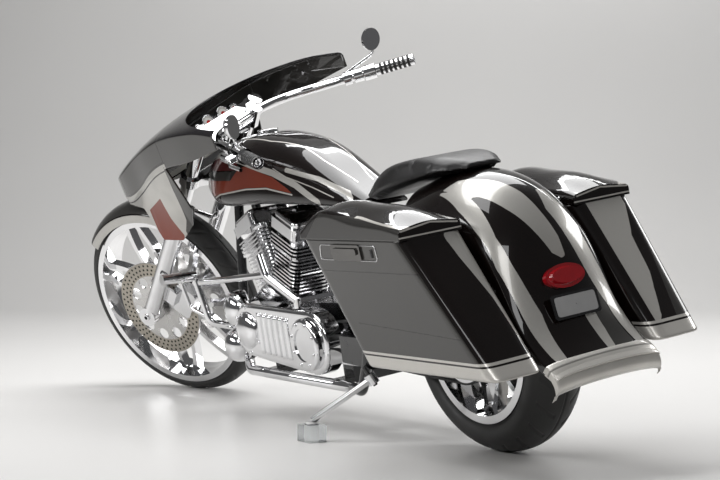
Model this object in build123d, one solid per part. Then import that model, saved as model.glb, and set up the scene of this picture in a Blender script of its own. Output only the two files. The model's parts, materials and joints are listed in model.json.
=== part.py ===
from build123d import *
import os
from math import cos, radians, sin, sqrt, tan

# A stretched bagger motorcycle, parked on its side stand with the bars turned to the left stop.
# Millimetres and degrees. Pieces are drawn on an upright machine: +X forward, +Y left, +Z up from the ground,
# with the rear axle above x = 0. Front pieces are drawn straight ahead, their x measured from the front axle
# where a table or a point says so, and then turned to the steering stop.

# Stance
wheelbase = 1935.0
lean_angle = 9.3
steer_stop = 25.0
neck_rake = 40.0
tree_rake = 3.0
axle_lead = 94.0

# Clearances
seat_gap = 0.3
run_gap = 0.3

# Rear wheel
rear_radius = 323.0
rear_crown = 105.0
rear_shoulder = 50.0
rear_bead = 224.0
rear_bead_half = 70.0
rear_side_half = 91.0
rear_hub_half = 80.0

# Front wheel
front_radius = 375.0
front_crown = 62.0
front_shoulder = 60.0
front_bead = 320.0
front_bead_half = 46.0
front_side_half = 55.0
front_hub_half = 90.0

# Wheel construction
rim_wall = 16.0
lip_rise = 6.0
lip_width = 6.0
hub_radius = 46.0
spoke_pairs = 7
spoke_width = 24.0
spoke_depth = 34.0
axle_diameter = 25.0
axle_bore = 14.0
disc_thickness = 6.0
front_disc_radius = 180.0
rear_disc_radius = 146.0
disc_holes = 10

# Fork
leg_half_spacing = 141.0
lower_diameter = 62.0
tube_diameter = 49.0
lower_length = 430.0
tube_top = 876.0
lower_tree = 655.0
upper_tree = 834.0
tree_thickness = 32.0
tree_boss = 36.0
neck_diameter = 66.0
neck_bore = 45.0
stem_diameter = 38.0
bar_diameter = 32.0
bar_lift = 45.0
grip_end = (-1060.0, 437.0, 966.0)
bar_shoulder = 170.0
grip_length = 125.0
grip_diameter = 38.0
mirror_centre = (-960.0, 386.0, 1077.0)
mirror_diameter = 76.0

# Frame
rail_height = 165.0
rail_diameter = 32.0
backbone_diameter = 46.0
strut_diameter = 24.0
bag_rail_diameter = 30.0

# Engine
crank_x = 1110.0
crank_z = 318.0
case_half = 98.0
case_bottom = 215.0
vee_half_angle = 22.5
deck_height = 122.0
barrel_radius = 52.0
fin_half = 74.0
fin_thickness = 5.0
fin_pitch = 13.0
fin_count = 10
head_top = 326.0
rocker_top = 385.0
rocker_length = 172.0
rocker_width = 152.0
cam_cover_top = 395.0
clutch_x = 715.0
clutch_z = 297.0
clutch_radius = 100.0
primary_inner = 130.0
primary_outer = 190.0
pulley_inner = 98.0
pulley_outer = 124.0
front_pulley_radius = 45.0
rear_pulley_radius = 105.0
belt_thickness = 6.0

# Body
panel = 4.0
fender_half = 170.0
bag_inner = 186.3
bag_outer_top = 386.0
bag_outer_bottom = 345.0
bag_wall = 5.0
bag_bottom = 300.0
bag_top = 661.0
lid_inner = 190.0
lid_bottom = bag_top + seat_gap
lid_outer = 386.0
lid_crest = 285.0
hinge_x = (-110.0, 180.0)
hinge_height = 682.0
hinge_leaf = 3.0
hinge_width = 24.0
hinge_barrel = 9.0
hinge_pin = 6.0
hinge_eye = 14.0
block_size = (72.0, 56.0, 50.0)
stand_foot = (454.0, 366.0)
stand_pivot = (375.0, 192.0, 215.0)
stand_folded = (-0.97, 0.10, 0.235)
stand_pin = 14.0


# The machine's placement: steering axis, lean to the left and the pitch that sets both tyres on the ground.
front_axle_point = Vector(wheelbase, 0, front_radius)
rear_axle_point = Vector(0, 0, rear_radius)
steer_up = Vector(-sin(radians(neck_rake)), 0, cos(radians(neck_rake)))
steer_forward = Vector(cos(radians(neck_rake)), 0, sin(radians(neck_rake)))
steer_foot = front_axle_point - steer_forward * axle_lead
leg_rake = neck_rake + tree_rake
leg_up = Vector(-sin(radians(leg_rake)), 0, cos(radians(leg_rake)))
steer_axis = Axis(steer_foot, steer_up)


def on_stem(height, forward=0.0, left=0.0):
    """A point given by its height along the steering axis and its offsets forward and left of it."""
    return steer_foot + steer_up * height + steer_forward * forward + Vector(0, left, 0)


def on_leg(height, side):
    """A point on the axis of a fork leg, height above the front axle."""
    return front_axle_point + leg_up * height + Vector(0, side * leg_half_spacing, 0)


def from_front(x, y, z):
    """A point whose x is measured from the front axle, forward positive."""
    return Vector(wheelbase + x, y, z)


def machine_axes(pitch):
    """Directions of the machine's X, Y and Z axes on the ground, leaned left and pitched nose down."""
    lean = radians(lean_angle)
    forward = Vector(cos(pitch), -sin(lean) * sin(pitch), -cos(lean) * sin(pitch))
    left = Vector(0, cos(lean), -sin(lean))
    return forward, left, forward.cross(left)


def tyre_drop(radius, crown, axle_slope):
    """Height of a tilted wheel's centre above the ground when its rounded crown touches."""
    return crown + (radius - crown) * sqrt(1 - axle_slope**2)


def ground_placement():
    """The plane that carries the upright machine to the ground, both tyres touching at z = 0."""
    axle = (front_axle_point - steer_foot).rotate(Axis((0, 0, 0), steer_up), steer_stop) + steer_foot
    axle_line = Vector(0, 1, 0).rotate(Axis((0, 0, 0), steer_up), steer_stop)
    pitch = 0.0
    for _ in range(30):
        forward, left, up = machine_axes(pitch)
        to_ground = Vector(forward.Z, left.Z, up.Z)
        front_drop = tyre_drop(front_radius, front_crown, axle_line.dot(to_ground))
        rear_drop = tyre_drop(rear_radius, rear_crown, left.Z)
        miss = (axle - rear_axle_point).dot(to_ground) + rear_drop - front_drop
        pitch += miss / wheelbase
    height = rear_drop - rear_axle_point.dot(to_ground)
    return Plane(origin=(0, 0, height), x_dir=forward, z_dir=up)


ground = ground_placement()


# Shape helpers
def rod(start, end, diameter):
    """A round bar from one point to another."""
    start, end = Vector(start), Vector(end)
    return Plane(origin=start, z_dir=end - start) * extrude(Circle(diameter / 2), (end - start).length)


def bent_tube(points, bend, diameter):
    """A round bar along straight runs joined by bends."""
    path = FilletPolyline(*points, radius=bend)
    return sweep(Plane(origin=path @ 0, z_dir=path % 0) * Circle(diameter / 2), path)


def block(low, high):
    """A box between two corners."""
    low, high = Vector(low), Vector(high)
    size = high - low
    return Pos((low + high) / 2) * Box(size.X, size.Y, size.Z)


def side_plate(points, inner, outer):
    """A plate with an outline in X and Z, between two distances to the left."""
    outline = Plane.XZ * make_face(Polyline(*points, close=True))
    return Pos(0, outer, 0) * extrude(outline, outer - inner)


def mirrored(solid):
    """The same piece on the right."""
    return mirror(solid, Plane.XZ)


def both(solid):
    """A pair of like pieces, left and right."""
    return Compound(children=[solid, mirrored(solid)])


def body_section(x, low_half, high_half, bottom, top, low_round, high_round):
    """A cross-section at x: four sides with rounded lower and upper corners."""
    corners = [(-low_half, bottom), (low_half, bottom), (high_half, top), (-high_half, top)]
    outline = make_face(Polyline(*corners, close=True))
    outline = fillet(outline.vertices().group_by(Axis.Y)[0], low_round)
    outline = fillet(outline.vertices().group_by(Axis.Y)[-1], high_round)
    return Plane(origin=(x, 0, 0), x_dir=(0, 1, 0), z_dir=(1, 0, 0)) * outline


def arch_section(crest, tilt, half, drop, depth, wall):
    """A hoop-shaped wall: half an ellipse on straight skirts, its crest at (x, z), tilted to the rear."""
    outer = EllipticalCenterArc((0, -drop), half, drop, start_angle=0, arc_size=180)
    inner = EllipticalCenterArc((0, -drop), half - wall, drop - wall, start_angle=0, arc_size=180)
    edges = [
        outer,
        Line((half, -drop), (half, -depth)),
        Line((half, -depth), (half - wall, -depth)),
        Line((half - wall, -depth), (half - wall, -drop)),
        inner,
        Line((wall - half, -drop), (wall - half, -depth)),
        Line((wall - half, -depth), (-half, -depth)),
        Line((-half, -depth), (-half, -drop)),
    ]
    lean_back = radians(tilt)
    normal = Vector(-sin(lean_back), 0, cos(lean_back))
    along = Vector(0, 1, 0).cross(normal)
    return Plane(origin=(crest[0], 0, crest[1]), x_dir=(0, 1, 0), z_dir=along) * make_face(edges)


def about_axle(shape, axle_point):
    """Carry a wheel piece, turned about Y at the origin, to its axle."""
    return Pos(axle_point) * shape


# Wheels
def tyre(radius, crown, shoulder, bead, bead_half, side_half):
    """A tyre turned about Y: rounded crown, bulged sides and a toe on each bead."""
    edge_y = crown * sin(radians(shoulder))
    edge_r = radius - crown * (1 - cos(radians(shoulder)))
    inner = bead + seat_gap
    toe = inner + lip_rise + 1
    toe_half = bead_half + 1.5
    middle = (toe + edge_r) / 2
    outline = [
        ThreePointArc((edge_r, -edge_y), (radius, 0), (edge_r, edge_y)),
        ThreePointArc((edge_r, edge_y), (middle, side_half), (toe, toe_half)),
        Line((toe, toe_half), (inner, bead_half)),
        Line((inner, bead_half), (inner, -bead_half)),
        Line((inner, -bead_half), (toe, -toe_half)),
        ThreePointArc((toe, -toe_half), (middle, -side_half), (edge_r, -edge_y)),
    ]
    return revolve(make_face(outline), Axis.Y)


def spoke(inner, outer, lead):
    """One curved blade in the wheel's plane, swept forward by an angle between hub and hoop."""
    def at(radius, angle):
        return (radius * cos(radians(angle)), radius * sin(radians(angle)))
    root = spoke_width / inner * 28.6
    tip = spoke_width / outer * 28.6
    middle = (inner + outer) / 2
    waist = spoke_width / middle * 20.0
    blade = make_face([
        ThreePointArc(at(inner, -root), at(middle, lead * 0.65 - waist), at(outer, lead - tip)),
        Line(at(outer, lead - tip), at(outer, lead + tip)),
        ThreePointArc(at(outer, lead + tip), at(middle, lead * 0.65 + waist), at(inner, root)),
        Line(at(inner, root), at(inner, -root)),
    ])
    return extrude(Plane.XZ * blade, spoke_depth / 2, both=True)


def rim(bead, bead_half, hub_half):
    """A hoop with lips, paired blades and a bored hub."""
    lip_inner = bead_half + 2.5
    lip_outer = lip_inner + lip_width
    floor = bead - rim_wall
    half_outline = [
        (bead, 0), (bead, lip_inner - 1), (bead + lip_rise, lip_inner), (bead + lip_rise, lip_outer),
        (floor, lip_outer), (floor - 4, 0),
    ]
    other = [(r, -y) for r, y in reversed(half_outline[1:-1])]
    hoop = revolve(make_face(Polyline(*half_outline, *other, close=True)), Axis.Y)
    hub = Rot(90, 0, 0) * Cylinder(hub_radius, 2 * hub_half)
    wheel = hoop + hub
    for pair in range(spoke_pairs):
        for lead, offset in ((26.0, 5.0), (-26.0, -5.0)):
            angle = pair * 360.0 / spoke_pairs + offset
            wheel += Rot(0, angle, 0) * spoke(hub_radius - 6, floor + 3, lead)
    bore = Rot(90, 0, 0) * Cylinder(axle_diameter / 2 + run_gap, 2 * hub_half + 2)
    return wheel - bore


def brake_disc(radius, side_y):
    """A ventilated disc: bored centre and a ring of round windows."""
    disc = Rot(90, 0, 0) * Cylinder(radius, disc_thickness)
    disc -= Rot(90, 0, 0) * Cylinder(axle_diameter / 2 + 4, 2 * disc_thickness)
    window = Rot(90, 0, 0) * Cylinder(radius * 0.12, 2 * disc_thickness)
    for index in range(disc_holes):
        disc -= Rot(0, index * 360.0 / disc_holes, 0) * Pos(radius * 0.6, 0, 0) * window
    return Pos(0, side_y, 0) * disc


front_disc_y = front_hub_half + seat_gap + disc_thickness / 2
rear_disc_y = rear_hub_half + seat_gap + disc_thickness / 2


def front_tyre():
    shape = tyre(front_radius, front_crown, front_shoulder, front_bead, front_bead_half, front_side_half)
    return about_axle(shape, front_axle_point)


def front_rim():
    return about_axle(rim(front_bead, front_bead_half, front_hub_half), front_axle_point)


def front_brake_discs():
    return about_axle(both(brake_disc(front_disc_radius, front_disc_y)), front_axle_point)


def rear_tyre():
    shape = tyre(rear_radius, rear_crown, rear_shoulder, rear_bead, rear_bead_half, rear_side_half)
    return about_axle(shape, rear_axle_point)


def rear_rim():
    return about_axle(rim(rear_bead, rear_bead_half, rear_hub_half), rear_axle_point)


def rear_brake_disc():
    return about_axle(brake_disc(rear_disc_radius, -rear_disc_y), rear_axle_point)


def rear_pulley():
    """The driven pulley: a flanged ring on a dished web that bolts to the hub."""
    floor = rear_pulley_radius
    outline = [
        (axle_diameter / 2 + 4, rear_hub_half + seat_gap), (70, rear_hub_half + seat_gap), (82, pulley_inner),
        (floor + 3, pulley_inner), (floor, pulley_inner + 2), (floor, pulley_outer - 2),
        (floor - 14, pulley_outer - 2), (60, rear_hub_half + 16), (axle_diameter / 2 + 4, rear_hub_half + 16),
    ]
    return about_axle(revolve(make_face(Polyline(*outline, close=True)), Axis.Y), rear_axle_point)


def axle(point, half_length):
    return Pos(point) * Rot(90, 0, 0) * Cylinder(axle_diameter / 2, 2 * half_length)


axle_half = 176.0
front_axle_half = leg_half_spacing + lower_diameter / 2 + 4
arm_half = 142.0
arm_diameter = 32.0
arm_pivot = (515.0, 290.0)


def rear_axle():
    return axle(rear_axle_point, axle_half)


def front_axle():
    """A hollow spindle through both fork lowers."""
    bore = Rot(90, 0, 0) * Cylinder(axle_bore / 2, 2 * front_axle_half + 2)
    return axle(front_axle_point, front_axle_half) - Pos(front_axle_point) * bore


# Frame
upright_half = 182.0
arm_plate_inner = 166.0
arm_plate_outer = 182.0
fender_strut_half = fender_half - panel - 3 * seat_gap - strut_diameter / 2
bag_rail_half = bag_inner - seat_gap - bag_rail_diameter / 2
backbone_front = on_stem((lower_tree + upper_tree) / 2)
backbone_rear = Vector(470, 0, 668)
oil_rest = (366.0, 470.0)
oil_rest_diameter = 28.0


def frame():
    """Neck, backbone, twin cradle loops, fender struts, bag rails and engine pads."""
    tree_clear = tree_thickness / 2 + 1
    neck = rod(on_stem(lower_tree + tree_clear), on_stem(upper_tree - tree_clear), neck_diameter)
    loop = bent_tube(
        [(1352, 14, 850), (1338, 84, 260), (1240, 132, rail_height), (560, 150, rail_height),
         (452, upright_half, rail_height + 4), (402, upright_half, 262), (348, 142, 560), (330, 125, 636)],
        40, rail_diameter)
    top_link = rod((333, 126, 630), backbone_rear, rail_diameter)
    strut = bent_tube(
        [(342, 134, 592), (255, fender_strut_half, 588), (-200, fender_strut_half, 560)], 60, strut_diameter)
    bag_rail = bent_tube(
        [(362, 152, 480), (285, bag_rail_half, 480), (-172, bag_rail_half, 480)], 60, bag_rail_diameter)
    pin_top = Vector(stand_pivot) + stand_axis * 40
    stand_lug = rod(pin_top - stand_axis * 11, (410, upright_half, 248), 20) + rod(
        pin_top, Vector(stand_pivot) - stand_axis * 22, stand_pin)
    arm_outline = [(380, 240), (545, 250), (545, 330), (380, 330)]
    arm_plate = side_plate(arm_outline, arm_plate_inner, arm_plate_outer)
    half = loop + top_link + strut + bag_rail + arm_plate
    shape = rod(backbone_front, backbone_rear, backbone_diameter) + half + mirrored(half) + stand_lug
    for x in (crank_x, clutch_x - 40):
        shape += block((x - 30, -146, rail_height - 8), (x + 30, 146, rail_height + 12))
        shape += block((x - 30, -90, rail_height), (x + 30, 90, case_bottom - seat_gap))
    shape += rod((oil_rest[0], -152, oil_rest[1]), (oil_rest[0], 152, oil_rest[1]), oil_rest_diameter)
    shape += neck
    bore = rod(on_stem(lower_tree), on_stem(upper_tree), neck_bore)
    return shape - bore


def swingarm():
    """Two arms from a pivot tube to the axle, with a cross tube ahead of the tyre."""
    pivot = Vector(arm_pivot[0], 0, arm_pivot[1])
    end = rear_axle_point + Vector(0, arm_half, 0)
    arm = rod(pivot + Vector(0, arm_half - 2, 0), end, arm_diameter)
    arm += Pos(end) * Rot(90, 0, 0) * Cylinder(30, arm_diameter)
    shape = arm + mirrored(arm)
    half_pivot = arm_plate_inner - seat_gap
    shape += rod(pivot - Vector(0, half_pivot, 0), pivot + Vector(0, half_pivot, 0), 44)
    cross = pivot + (rear_axle_point - pivot) * 0.24
    shape += rod(cross - Vector(0, arm_half, 0), cross + Vector(0, arm_half, 0), 28)
    return shape - Pos(rear_axle_point) * Rot(90, 0, 0) * Cylinder(axle_diameter / 2 + seat_gap, 400)


# Engine
def along_cylinder(distance, lean):
    """A frame on a cylinder's axis, distance from the crank; lean is +1 for the front cylinder."""
    angle = radians(vee_half_angle * lean)
    direction = Vector(sin(angle), 0, cos(angle))
    origin = Vector(crank_x, 0, crank_z) + direction * distance
    return Plane(origin=origin, x_dir=(0, 1, 0), z_dir=direction)


def engine_crankcase():
    """The case: two deck faces square to the cylinders above a rounded sump."""
    angle = radians(vee_half_angle)
    deck_half = 78.0
    deck_x = deck_height * sin(angle) + deck_half * cos(angle)
    deck_z = deck_height * cos(angle) - deck_half * sin(angle)
    outline = [
        (crank_x - 120, case_bottom), (crank_x + 120, case_bottom), (crank_x + 142, crank_z),
        (crank_x + deck_x, crank_z + deck_z), (crank_x, crank_z + deck_height / cos(angle)),
        (crank_x - deck_x, crank_z + deck_z), (crank_x - 142, crank_z),
    ]
    case = side_plate(outline, -case_half, case_half)
    corners = case.edges().filter_by(Axis.Y).group_by(Axis.Z)[0]
    return fillet(corners, 50)


def one_cylinder(lean):
    """A barrel with square fins under a wider finned head, trimmed where the two cylinders meet."""
    length = head_top - deck_height - 2 * seat_gap
    shape = along_cylinder(deck_height + seat_gap, lean) * extrude(Circle(barrel_radius), length)
    for index in range(fin_count):
        at = along_cylinder(deck_height + 12 + index * fin_pitch, lean)
        shape += at * extrude(RectangleRounded(2 * fin_half, 2 * fin_half, 26), fin_thickness)
    head_base = deck_height + 12 + fin_count * fin_pitch
    for index in range(4):
        at = along_cylinder(head_base + index * fin_pitch, lean)
        shape += at * extrude(RectangleRounded(2 * fin_half + 18, 2 * fin_half + 14, 20), fin_thickness)
    keep = block((crank_x + 1.5, -200, 300), (crank_x + 500, 200, 900))
    if lean < 0:
        keep = block((crank_x - 500, -200, 300), (crank_x - 1.5, 200, 900))
    return shape & keep


def cylinders():
    return Compound(children=[one_cylinder(1), one_cylinder(-1)])


def one_rocker_box(lean):
    """A rounded cover with a stepped lid over each head."""
    lower = rocker_top - head_top - 22
    shape = along_cylinder(head_top, lean) * extrude(
        RectangleRounded(rocker_length, rocker_width, 18), lower)
    cap = along_cylinder(head_top + lower, lean) * extrude(
        RectangleRounded(rocker_length - 12, rocker_width - 12, 24), 22)
    top = cap.faces().sort_by(Axis(along_cylinder(0, lean).origin, along_cylinder(0, lean).z_dir))[-1]
    cap = fillet(top.edges(), 12)
    return shape + cap


def rocker_boxes():
    return Compound(children=[one_rocker_box(1), one_rocker_box(-1)])


def cam_cover():
    """The gear cover on the right of the case, with a nose over the cam."""
    start = -case_half - seat_gap
    cover = side_plate(
        [(crank_x - 105, 245), (crank_x + 95, 235), (crank_x + 128, 300), (crank_x + 70, cam_cover_top),
         (crank_x - 80, cam_cover_top), (crank_x - 125, 320)], start - 40, start)
    cover = fillet(cover.edges().filter_by(Axis.Y), 30)
    nose = Pos(crank_x + 5, start - 48, 305) * Rot(90, 0, 0) * Cylinder(62, 24)
    return cover + nose


def pushrod_tubes():
    """Four tubes from the cam blocks to the heads, on the right."""
    tubes = []
    diameter = 20.0
    top_y = -rocker_length / 2 - seat_gap - diameter / 2
    for lean, offset in ((1, -22), (1, 14), (-1, 22), (-1, -14)):
        foot = Vector(crank_x + lean * 34 + offset * 0.7, -118, cam_cover_top)
        top = along_cylinder(head_top + 16, lean).origin + Vector(offset * 1.4, top_y, 0)
        tubes.append(rod(foot + Vector(0, 0, 4), top, diameter))
    return Compound(children=tubes)


def air_cleaner():
    """A round cover between the cylinders, on a stub from the intake."""
    centre = Vector(crank_x, -128, crank_z + 260)
    cover = Pos(centre + Vector(0, -30, 0)) * Rot(90, 0, 0) * Cylinder(92, 60)
    face = cover.faces().sort_by(Axis.Y)[0]
    cover = fillet(face.edges(), 18)
    return cover + rod(centre, centre + Vector(0, 128, 0), 50)


def two_circle_plate(first, second, inner, outer):
    """A plate round two circles (x, z, radius) and their tangents, between two distances to the left."""
    edges = []
    for x, z, radius in (first, second):
        edges += (Pos(x, z) * Circle(radius)).edges()
    return Pos(0, outer, 0) * extrude(Plane.XZ * make_hull(edges), outer - inner)


def primary_cover():
    """The long cover over the primary drive, with a round dished clutch cover at its rear end."""
    nose_radius = 88.0
    shape = two_circle_plate((crank_x, crank_z, nose_radius), (clutch_x, clutch_z, clutch_radius),
                             primary_inner, primary_outer)
    shape = fillet(shape.faces().sort_by(Axis.Y)[-1].edges(), 14)
    drum = fillet(Cylinder(82, 44).edges().sort_by(Axis.Z)[-1], 12) - Pos(0, 0, 24) * Cylinder(52, 12)
    shape += Pos(clutch_x, primary_outer + 4, clutch_z) * Rot(-90, 0, 0) * drum
    boss_inner = case_half + seat_gap
    boss_length = primary_inner + 4 - boss_inner
    boss = Pos(crank_x, boss_inner + boss_length / 2, crank_z) * Rot(90, 0, 0) * Cylinder(70, boss_length)
    return shape + boss


def transmission():
    """The gearbox behind the engine, with its output pulley on the left."""
    outline = [(560, case_bottom), (930, case_bottom), (944, 300), (905, 400), (640, 410), (572, 360)]
    case = side_plate(outline, -95, 95)
    case = fillet(case.edges().filter_by(Axis.Y), 18)
    pulley = Pos(clutch_x, (95 + pulley_outer) / 2, clutch_z) * Rot(90, 0, 0) * Cylinder(
        front_pulley_radius, pulley_outer - 93)
    hub = Pos(clutch_x, (pulley_outer + primary_inner - seat_gap) / 2, clutch_z) * Rot(90, 0, 0) * Cylinder(
        24, primary_inner - seat_gap - pulley_outer)
    return case + pulley + hub


def drive_belt():
    """A flat loop round the two pulleys."""
    inner = pulley_inner + 2 + run_gap
    outer = pulley_outer - 2 - run_gap

    def loop(extra, side):
        front = (clutch_x, clutch_z, front_pulley_radius + run_gap + extra)
        rear = (0, rear_radius, rear_pulley_radius + run_gap + extra)
        return two_circle_plate(front, rear, inner - side, outer + side)

    return loop(belt_thickness, 0) - loop(0, 1)


exhaust_y = -256.0
muffler_radius = 48.0


def exhaust():
    """Two header pipes that meet in a short muffler on the right."""
    shape = Pos(560, exhaust_y, 232) * Rot(0, 90, 0) * Cylinder(muffler_radius, 380)
    shape = fillet(shape.edges().filter_by(GeomType.CIRCLE), 16)
    for lean, knee in ((1, 1330), (-1, 905)):
        port = along_cylinder(head_top - 42, lean)
        start = port.origin - port.y_dir * lean * 58 - Vector(0, fin_half + 9 + seat_gap, 0)
        shape += bent_tube(
            [start, (start.X, exhaust_y + 30, start.Z), (knee, exhaust_y, 250 + 8 * lean),
             (720, exhaust_y, 232 + 8 * lean)], 36, 44)
    shape += rod((374, exhaust_y, 232), (330, exhaust_y, 232), 52)
    hanger_start = -arm_plate_outer - seat_gap
    return shape + block((470, exhaust_y + 20, 262), (510, hanger_start, 280))


def oil_tank():
    """The tank between gearbox and rear wheel, under the seat nose."""
    rear_face = oil_rest[0] + oil_rest_diameter / 2 + seat_gap
    tank = block((rear_face, -118, 430), (560, 118, 614))
    return fillet(tank.edges().filter_by(Axis.Z), 30)


peg_height = 500.0


def foot_controls():
    """Forward pegs on cranked arms, with a pedal each."""
    arm = bent_tube([(1330, 106, 300), (1372, 190, 330), (1405, 205, peg_height - 20)], 30, 26)
    peg = rod((1405, 205, peg_height - 10), (1405, 330, peg_height), 34)
    pedal = bent_tube([(1380, 196, 350), (1455, 215, 380), (1470, 230, 470), (1462, 300, 520)], 24, 14)
    side = arm + peg + pedal + rod((1330, 108, 300), (1330, 92, 300), 40)
    loop_hole = rod((1338, 84, 260), (1352, 14, 850), rail_diameter + 2 * seat_gap)
    side -= loop_hole
    return both(side)


def shift_linkage():
    """The bright bar from its bracket on the primary cover forward to the left foot control."""
    bracket = bent_tube([(930, 205, 570), (905, 205, 505), (800, 166, 425)], 40, 26)
    foot = rod((802, 164, 430), (802, 164, 399.7), 24)
    bar = rod((912, 205, 508), (1370, 205, 470), 22)
    return bracket + foot + bar


# Tank and seat
tank_stations = [
    # x, lower half width, upper half width, bottom, top, lower rounding, upper rounding
    (1388, 118, 100, 752, 872, 28, 50),
    (1290, 150, 128, 722, 910, 32, 90),
    (1130, 166, 138, 716, 940, 36, 100),
    (960, 160, 130, 720, 926, 36, 95),
    (780, 136, 106, 714, 880, 30, 80),
    (600, 108, 84, 704, 788, 24, 50),
    (472, 84, 64, 698, 726, 8, 12),
]


def fuel_tank():
    """A stretched teardrop tank with a tunnel for the backbone and a slanted face behind the fork."""
    shape = loft([body_section(*station) for station in tank_stations])
    line = (backbone_rear - backbone_front).normalized()
    lift = Vector(-line.Z, 0, line.X)
    lift = lift if lift.Z > 0 else -lift
    roof = backbone_diameter / 2 + seat_gap
    start = backbone_front + lift * roof - line * 80
    end = backbone_rear + lift * roof + line * 80
    tunnel = side_plate([(start.X, start.Z), (end.X, end.Z), (end.X, 600), (start.X, 600)],
                        -backbone_diameter / 2 - 4, backbone_diameter / 2 + 4)
    fork_room = Plane(origin=on_stem(600, -48), x_dir=(0, 1, 0), z_dir=steer_forward) * extrude(
        Rectangle(500, 1200), 400)
    loop_room = rod((1352, 14, 850), (1338, 84, 260), rail_diameter + 4)
    shape -= [tunnel, fork_room, loop_room, mirrored(loop_room)]
    return shape.solids().sort_by(SortBy.VOLUME)[-1]


def fuel_cap():
    """A low round cap on the tank's crest."""
    cap = Pos(1127, 0, 940 + 2 * seat_gap + 5) * Cylinder(34, 10)
    return fillet(cap.edges().group_by(Axis.Z)[-1], 4)


seat_stations = [
    # x, lower half width, upper half width, bottom, top, lower rounding, upper rounding
    (448, 84, 62, 730, 746, 4, 6),
    (400, 108, 84, 728, 764, 10, 16),
    (300, 138, 112, 748, 808, 16, 30),
    (200, 140, 116, 768, 829, 18, 36),
    (100, 132, 100, 787, 837, 14, 28),
    (0, 110, 76, 797, 829, 8, 16),
    (-62, 62, 40, 797, 810, 2, 4),
]


def seat():
    return loft([body_section(*station) for station in seat_stations])


# Rear body
fender_stations = [
    # crest (x, z), tilt to the rear, drop at the sides, depth of the skirt
    ((185, 762), -22, 150, 190),
    ((-50, 796), 8, 158, 230),
    ((-195, 750), 32, 150, 230),
    ((-298, 636), 60, 96, 190),
    ((-342, 505), 76, 54, 112),
    ((-388, 396), 58, 34, 70),
    ((-505, 292), 42, 26, 42),
]


def rear_fender():
    """The stretched fender: an arch carried over the wheel and flared out behind it."""
    sections = [arch_section(crest, tilt, fender_half, drop, depth, panel)
                for crest, tilt, drop, depth in fender_stations]
    return loft(sections)


def bag_outline(front, rear, outer, height, inset):
    """A rounded rectangle at one height, drawn in by inset."""
    low = (rear + inset, bag_inner + inset)
    high = (front - inset, outer - inset)
    centre = ((low[0] + high[0]) / 2, (low[1] + high[1]) / 2, height)
    return Pos(centre) * RectangleRounded(high[0] - low[0], high[1] - low[1], 32 - inset)


bag_front_top = 327.0
bag_rear_top = -186.0
bag_front_bottom = 140.0
bag_rear_bottom = -470.0


def left_bag():
    """A swept-back bag: straight walls between a long floor and a shorter mouth, open at the top."""
    outer = loft([
        bag_outline(bag_front_bottom, bag_rear_bottom, bag_outer_bottom, bag_bottom, 0),
        bag_outline(bag_front_top, bag_rear_top, bag_outer_top, bag_top, 0)], ruled=True)
    sweep_ratio = (bag_front_top - bag_front_bottom) / (bag_top - bag_bottom)
    rear_ratio = (bag_rear_top - bag_rear_bottom) / (bag_top - bag_bottom)
    side_ratio = (bag_outer_top - bag_outer_bottom) / (bag_top - bag_bottom)

    def cavity(height):
        rise = height - bag_bottom
        return bag_outline(bag_front_bottom + sweep_ratio * rise, bag_rear_bottom + rear_ratio * rise,
                           bag_outer_bottom + side_ratio * rise, height, bag_wall)

    return outer - loft([cavity(bag_bottom + bag_wall), cavity(bag_top + 4)], ruled=True)


def right_bag():
    return mirrored(left_bag())


lid_stations = [
    # x, inner edge height, crest height, outer edge height
    (-186, 688, 734, 690),
    (-150, 697, 747, 697),
    (30, 700, 763, 716),
    (235, 700, 752, 733),
    (327, 680, 700, 684),
]


def lid_section(x, inner_top, crest, outer_top, inset):
    """A lid's cross-section: low inner side, crowned top, taller outer side; an inset one is open below."""
    bottom = lid_bottom - (1 if inset else 0)
    corners = [
        (lid_inner + inset, bottom), (lid_outer - inset, bottom), (lid_outer - inset, outer_top - inset),
        (lid_crest, crest - inset), (lid_inner + inset, inner_top - inset),
    ]
    outline = make_face(Polyline(*corners, close=True))
    crown = [v for v in outline.vertices() if v.Y > lid_bottom + 1]
    outline = fillet(crown, 12)
    return Plane(origin=(x, 0, 0), x_dir=(0, 1, 0), z_dir=(1, 0, 0)) * outline


hinge_y = bag_inner - seat_gap - hinge_leaf


def hinge_rod(start, end, diameter):
    """A round bar on the left lid's hinge line."""
    return rod((start, hinge_y, hinge_height), (end, hinge_y, hinge_height), diameter)


def left_bag_lid():
    """A thin crowned lid, hollow below, with a pair of eyes at each hinge."""
    outer = loft([lid_section(*station, 0) for station in lid_stations])
    rear, front = lid_stations[0][0] + panel, lid_stations[-1][0] - panel
    inner_stations = [(min(max(x, rear), front), a, b, c) for x, a, b, c in lid_stations]
    lid = outer - loft([lid_section(*station, panel) for station in inner_stations])
    for x in hinge_x:
        for side in (1, -1):
            near = x + side * (hinge_width / 2 + 2 * run_gap)
            far = near + side * hinge_eye
            web = block((min(near, far), hinge_y, hinge_height - hinge_pin / 2),
                        (max(near, far), lid_inner + panel / 2, hinge_height + hinge_pin / 2))
            lid += hinge_rod(near, far, hinge_barrel) + web
            lid -= hinge_rod(min(near, far) - 1, max(near, far) + 1, hinge_pin + 2 * run_gap)
    return lid


def bag_hinges():
    """A leaf on each bag's inner wall that ends in a knuckle with a pin for the lid's eyes."""
    leaves = []
    for x in hinge_x:
        half = hinge_width / 2
        leaf = block((x - half, hinge_y, hinge_height - 46), (x + half, hinge_y + hinge_leaf, hinge_height))
        reach = half + 2 * run_gap + hinge_eye
        leaf += hinge_rod(x - half, x + half, hinge_barrel) + hinge_rod(x - reach, x + reach, hinge_pin)
        leaves += [leaf, mirrored(leaf)]
    return Compound(children=leaves)


def right_bag_lid():
    return mirrored(left_bag_lid())


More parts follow.
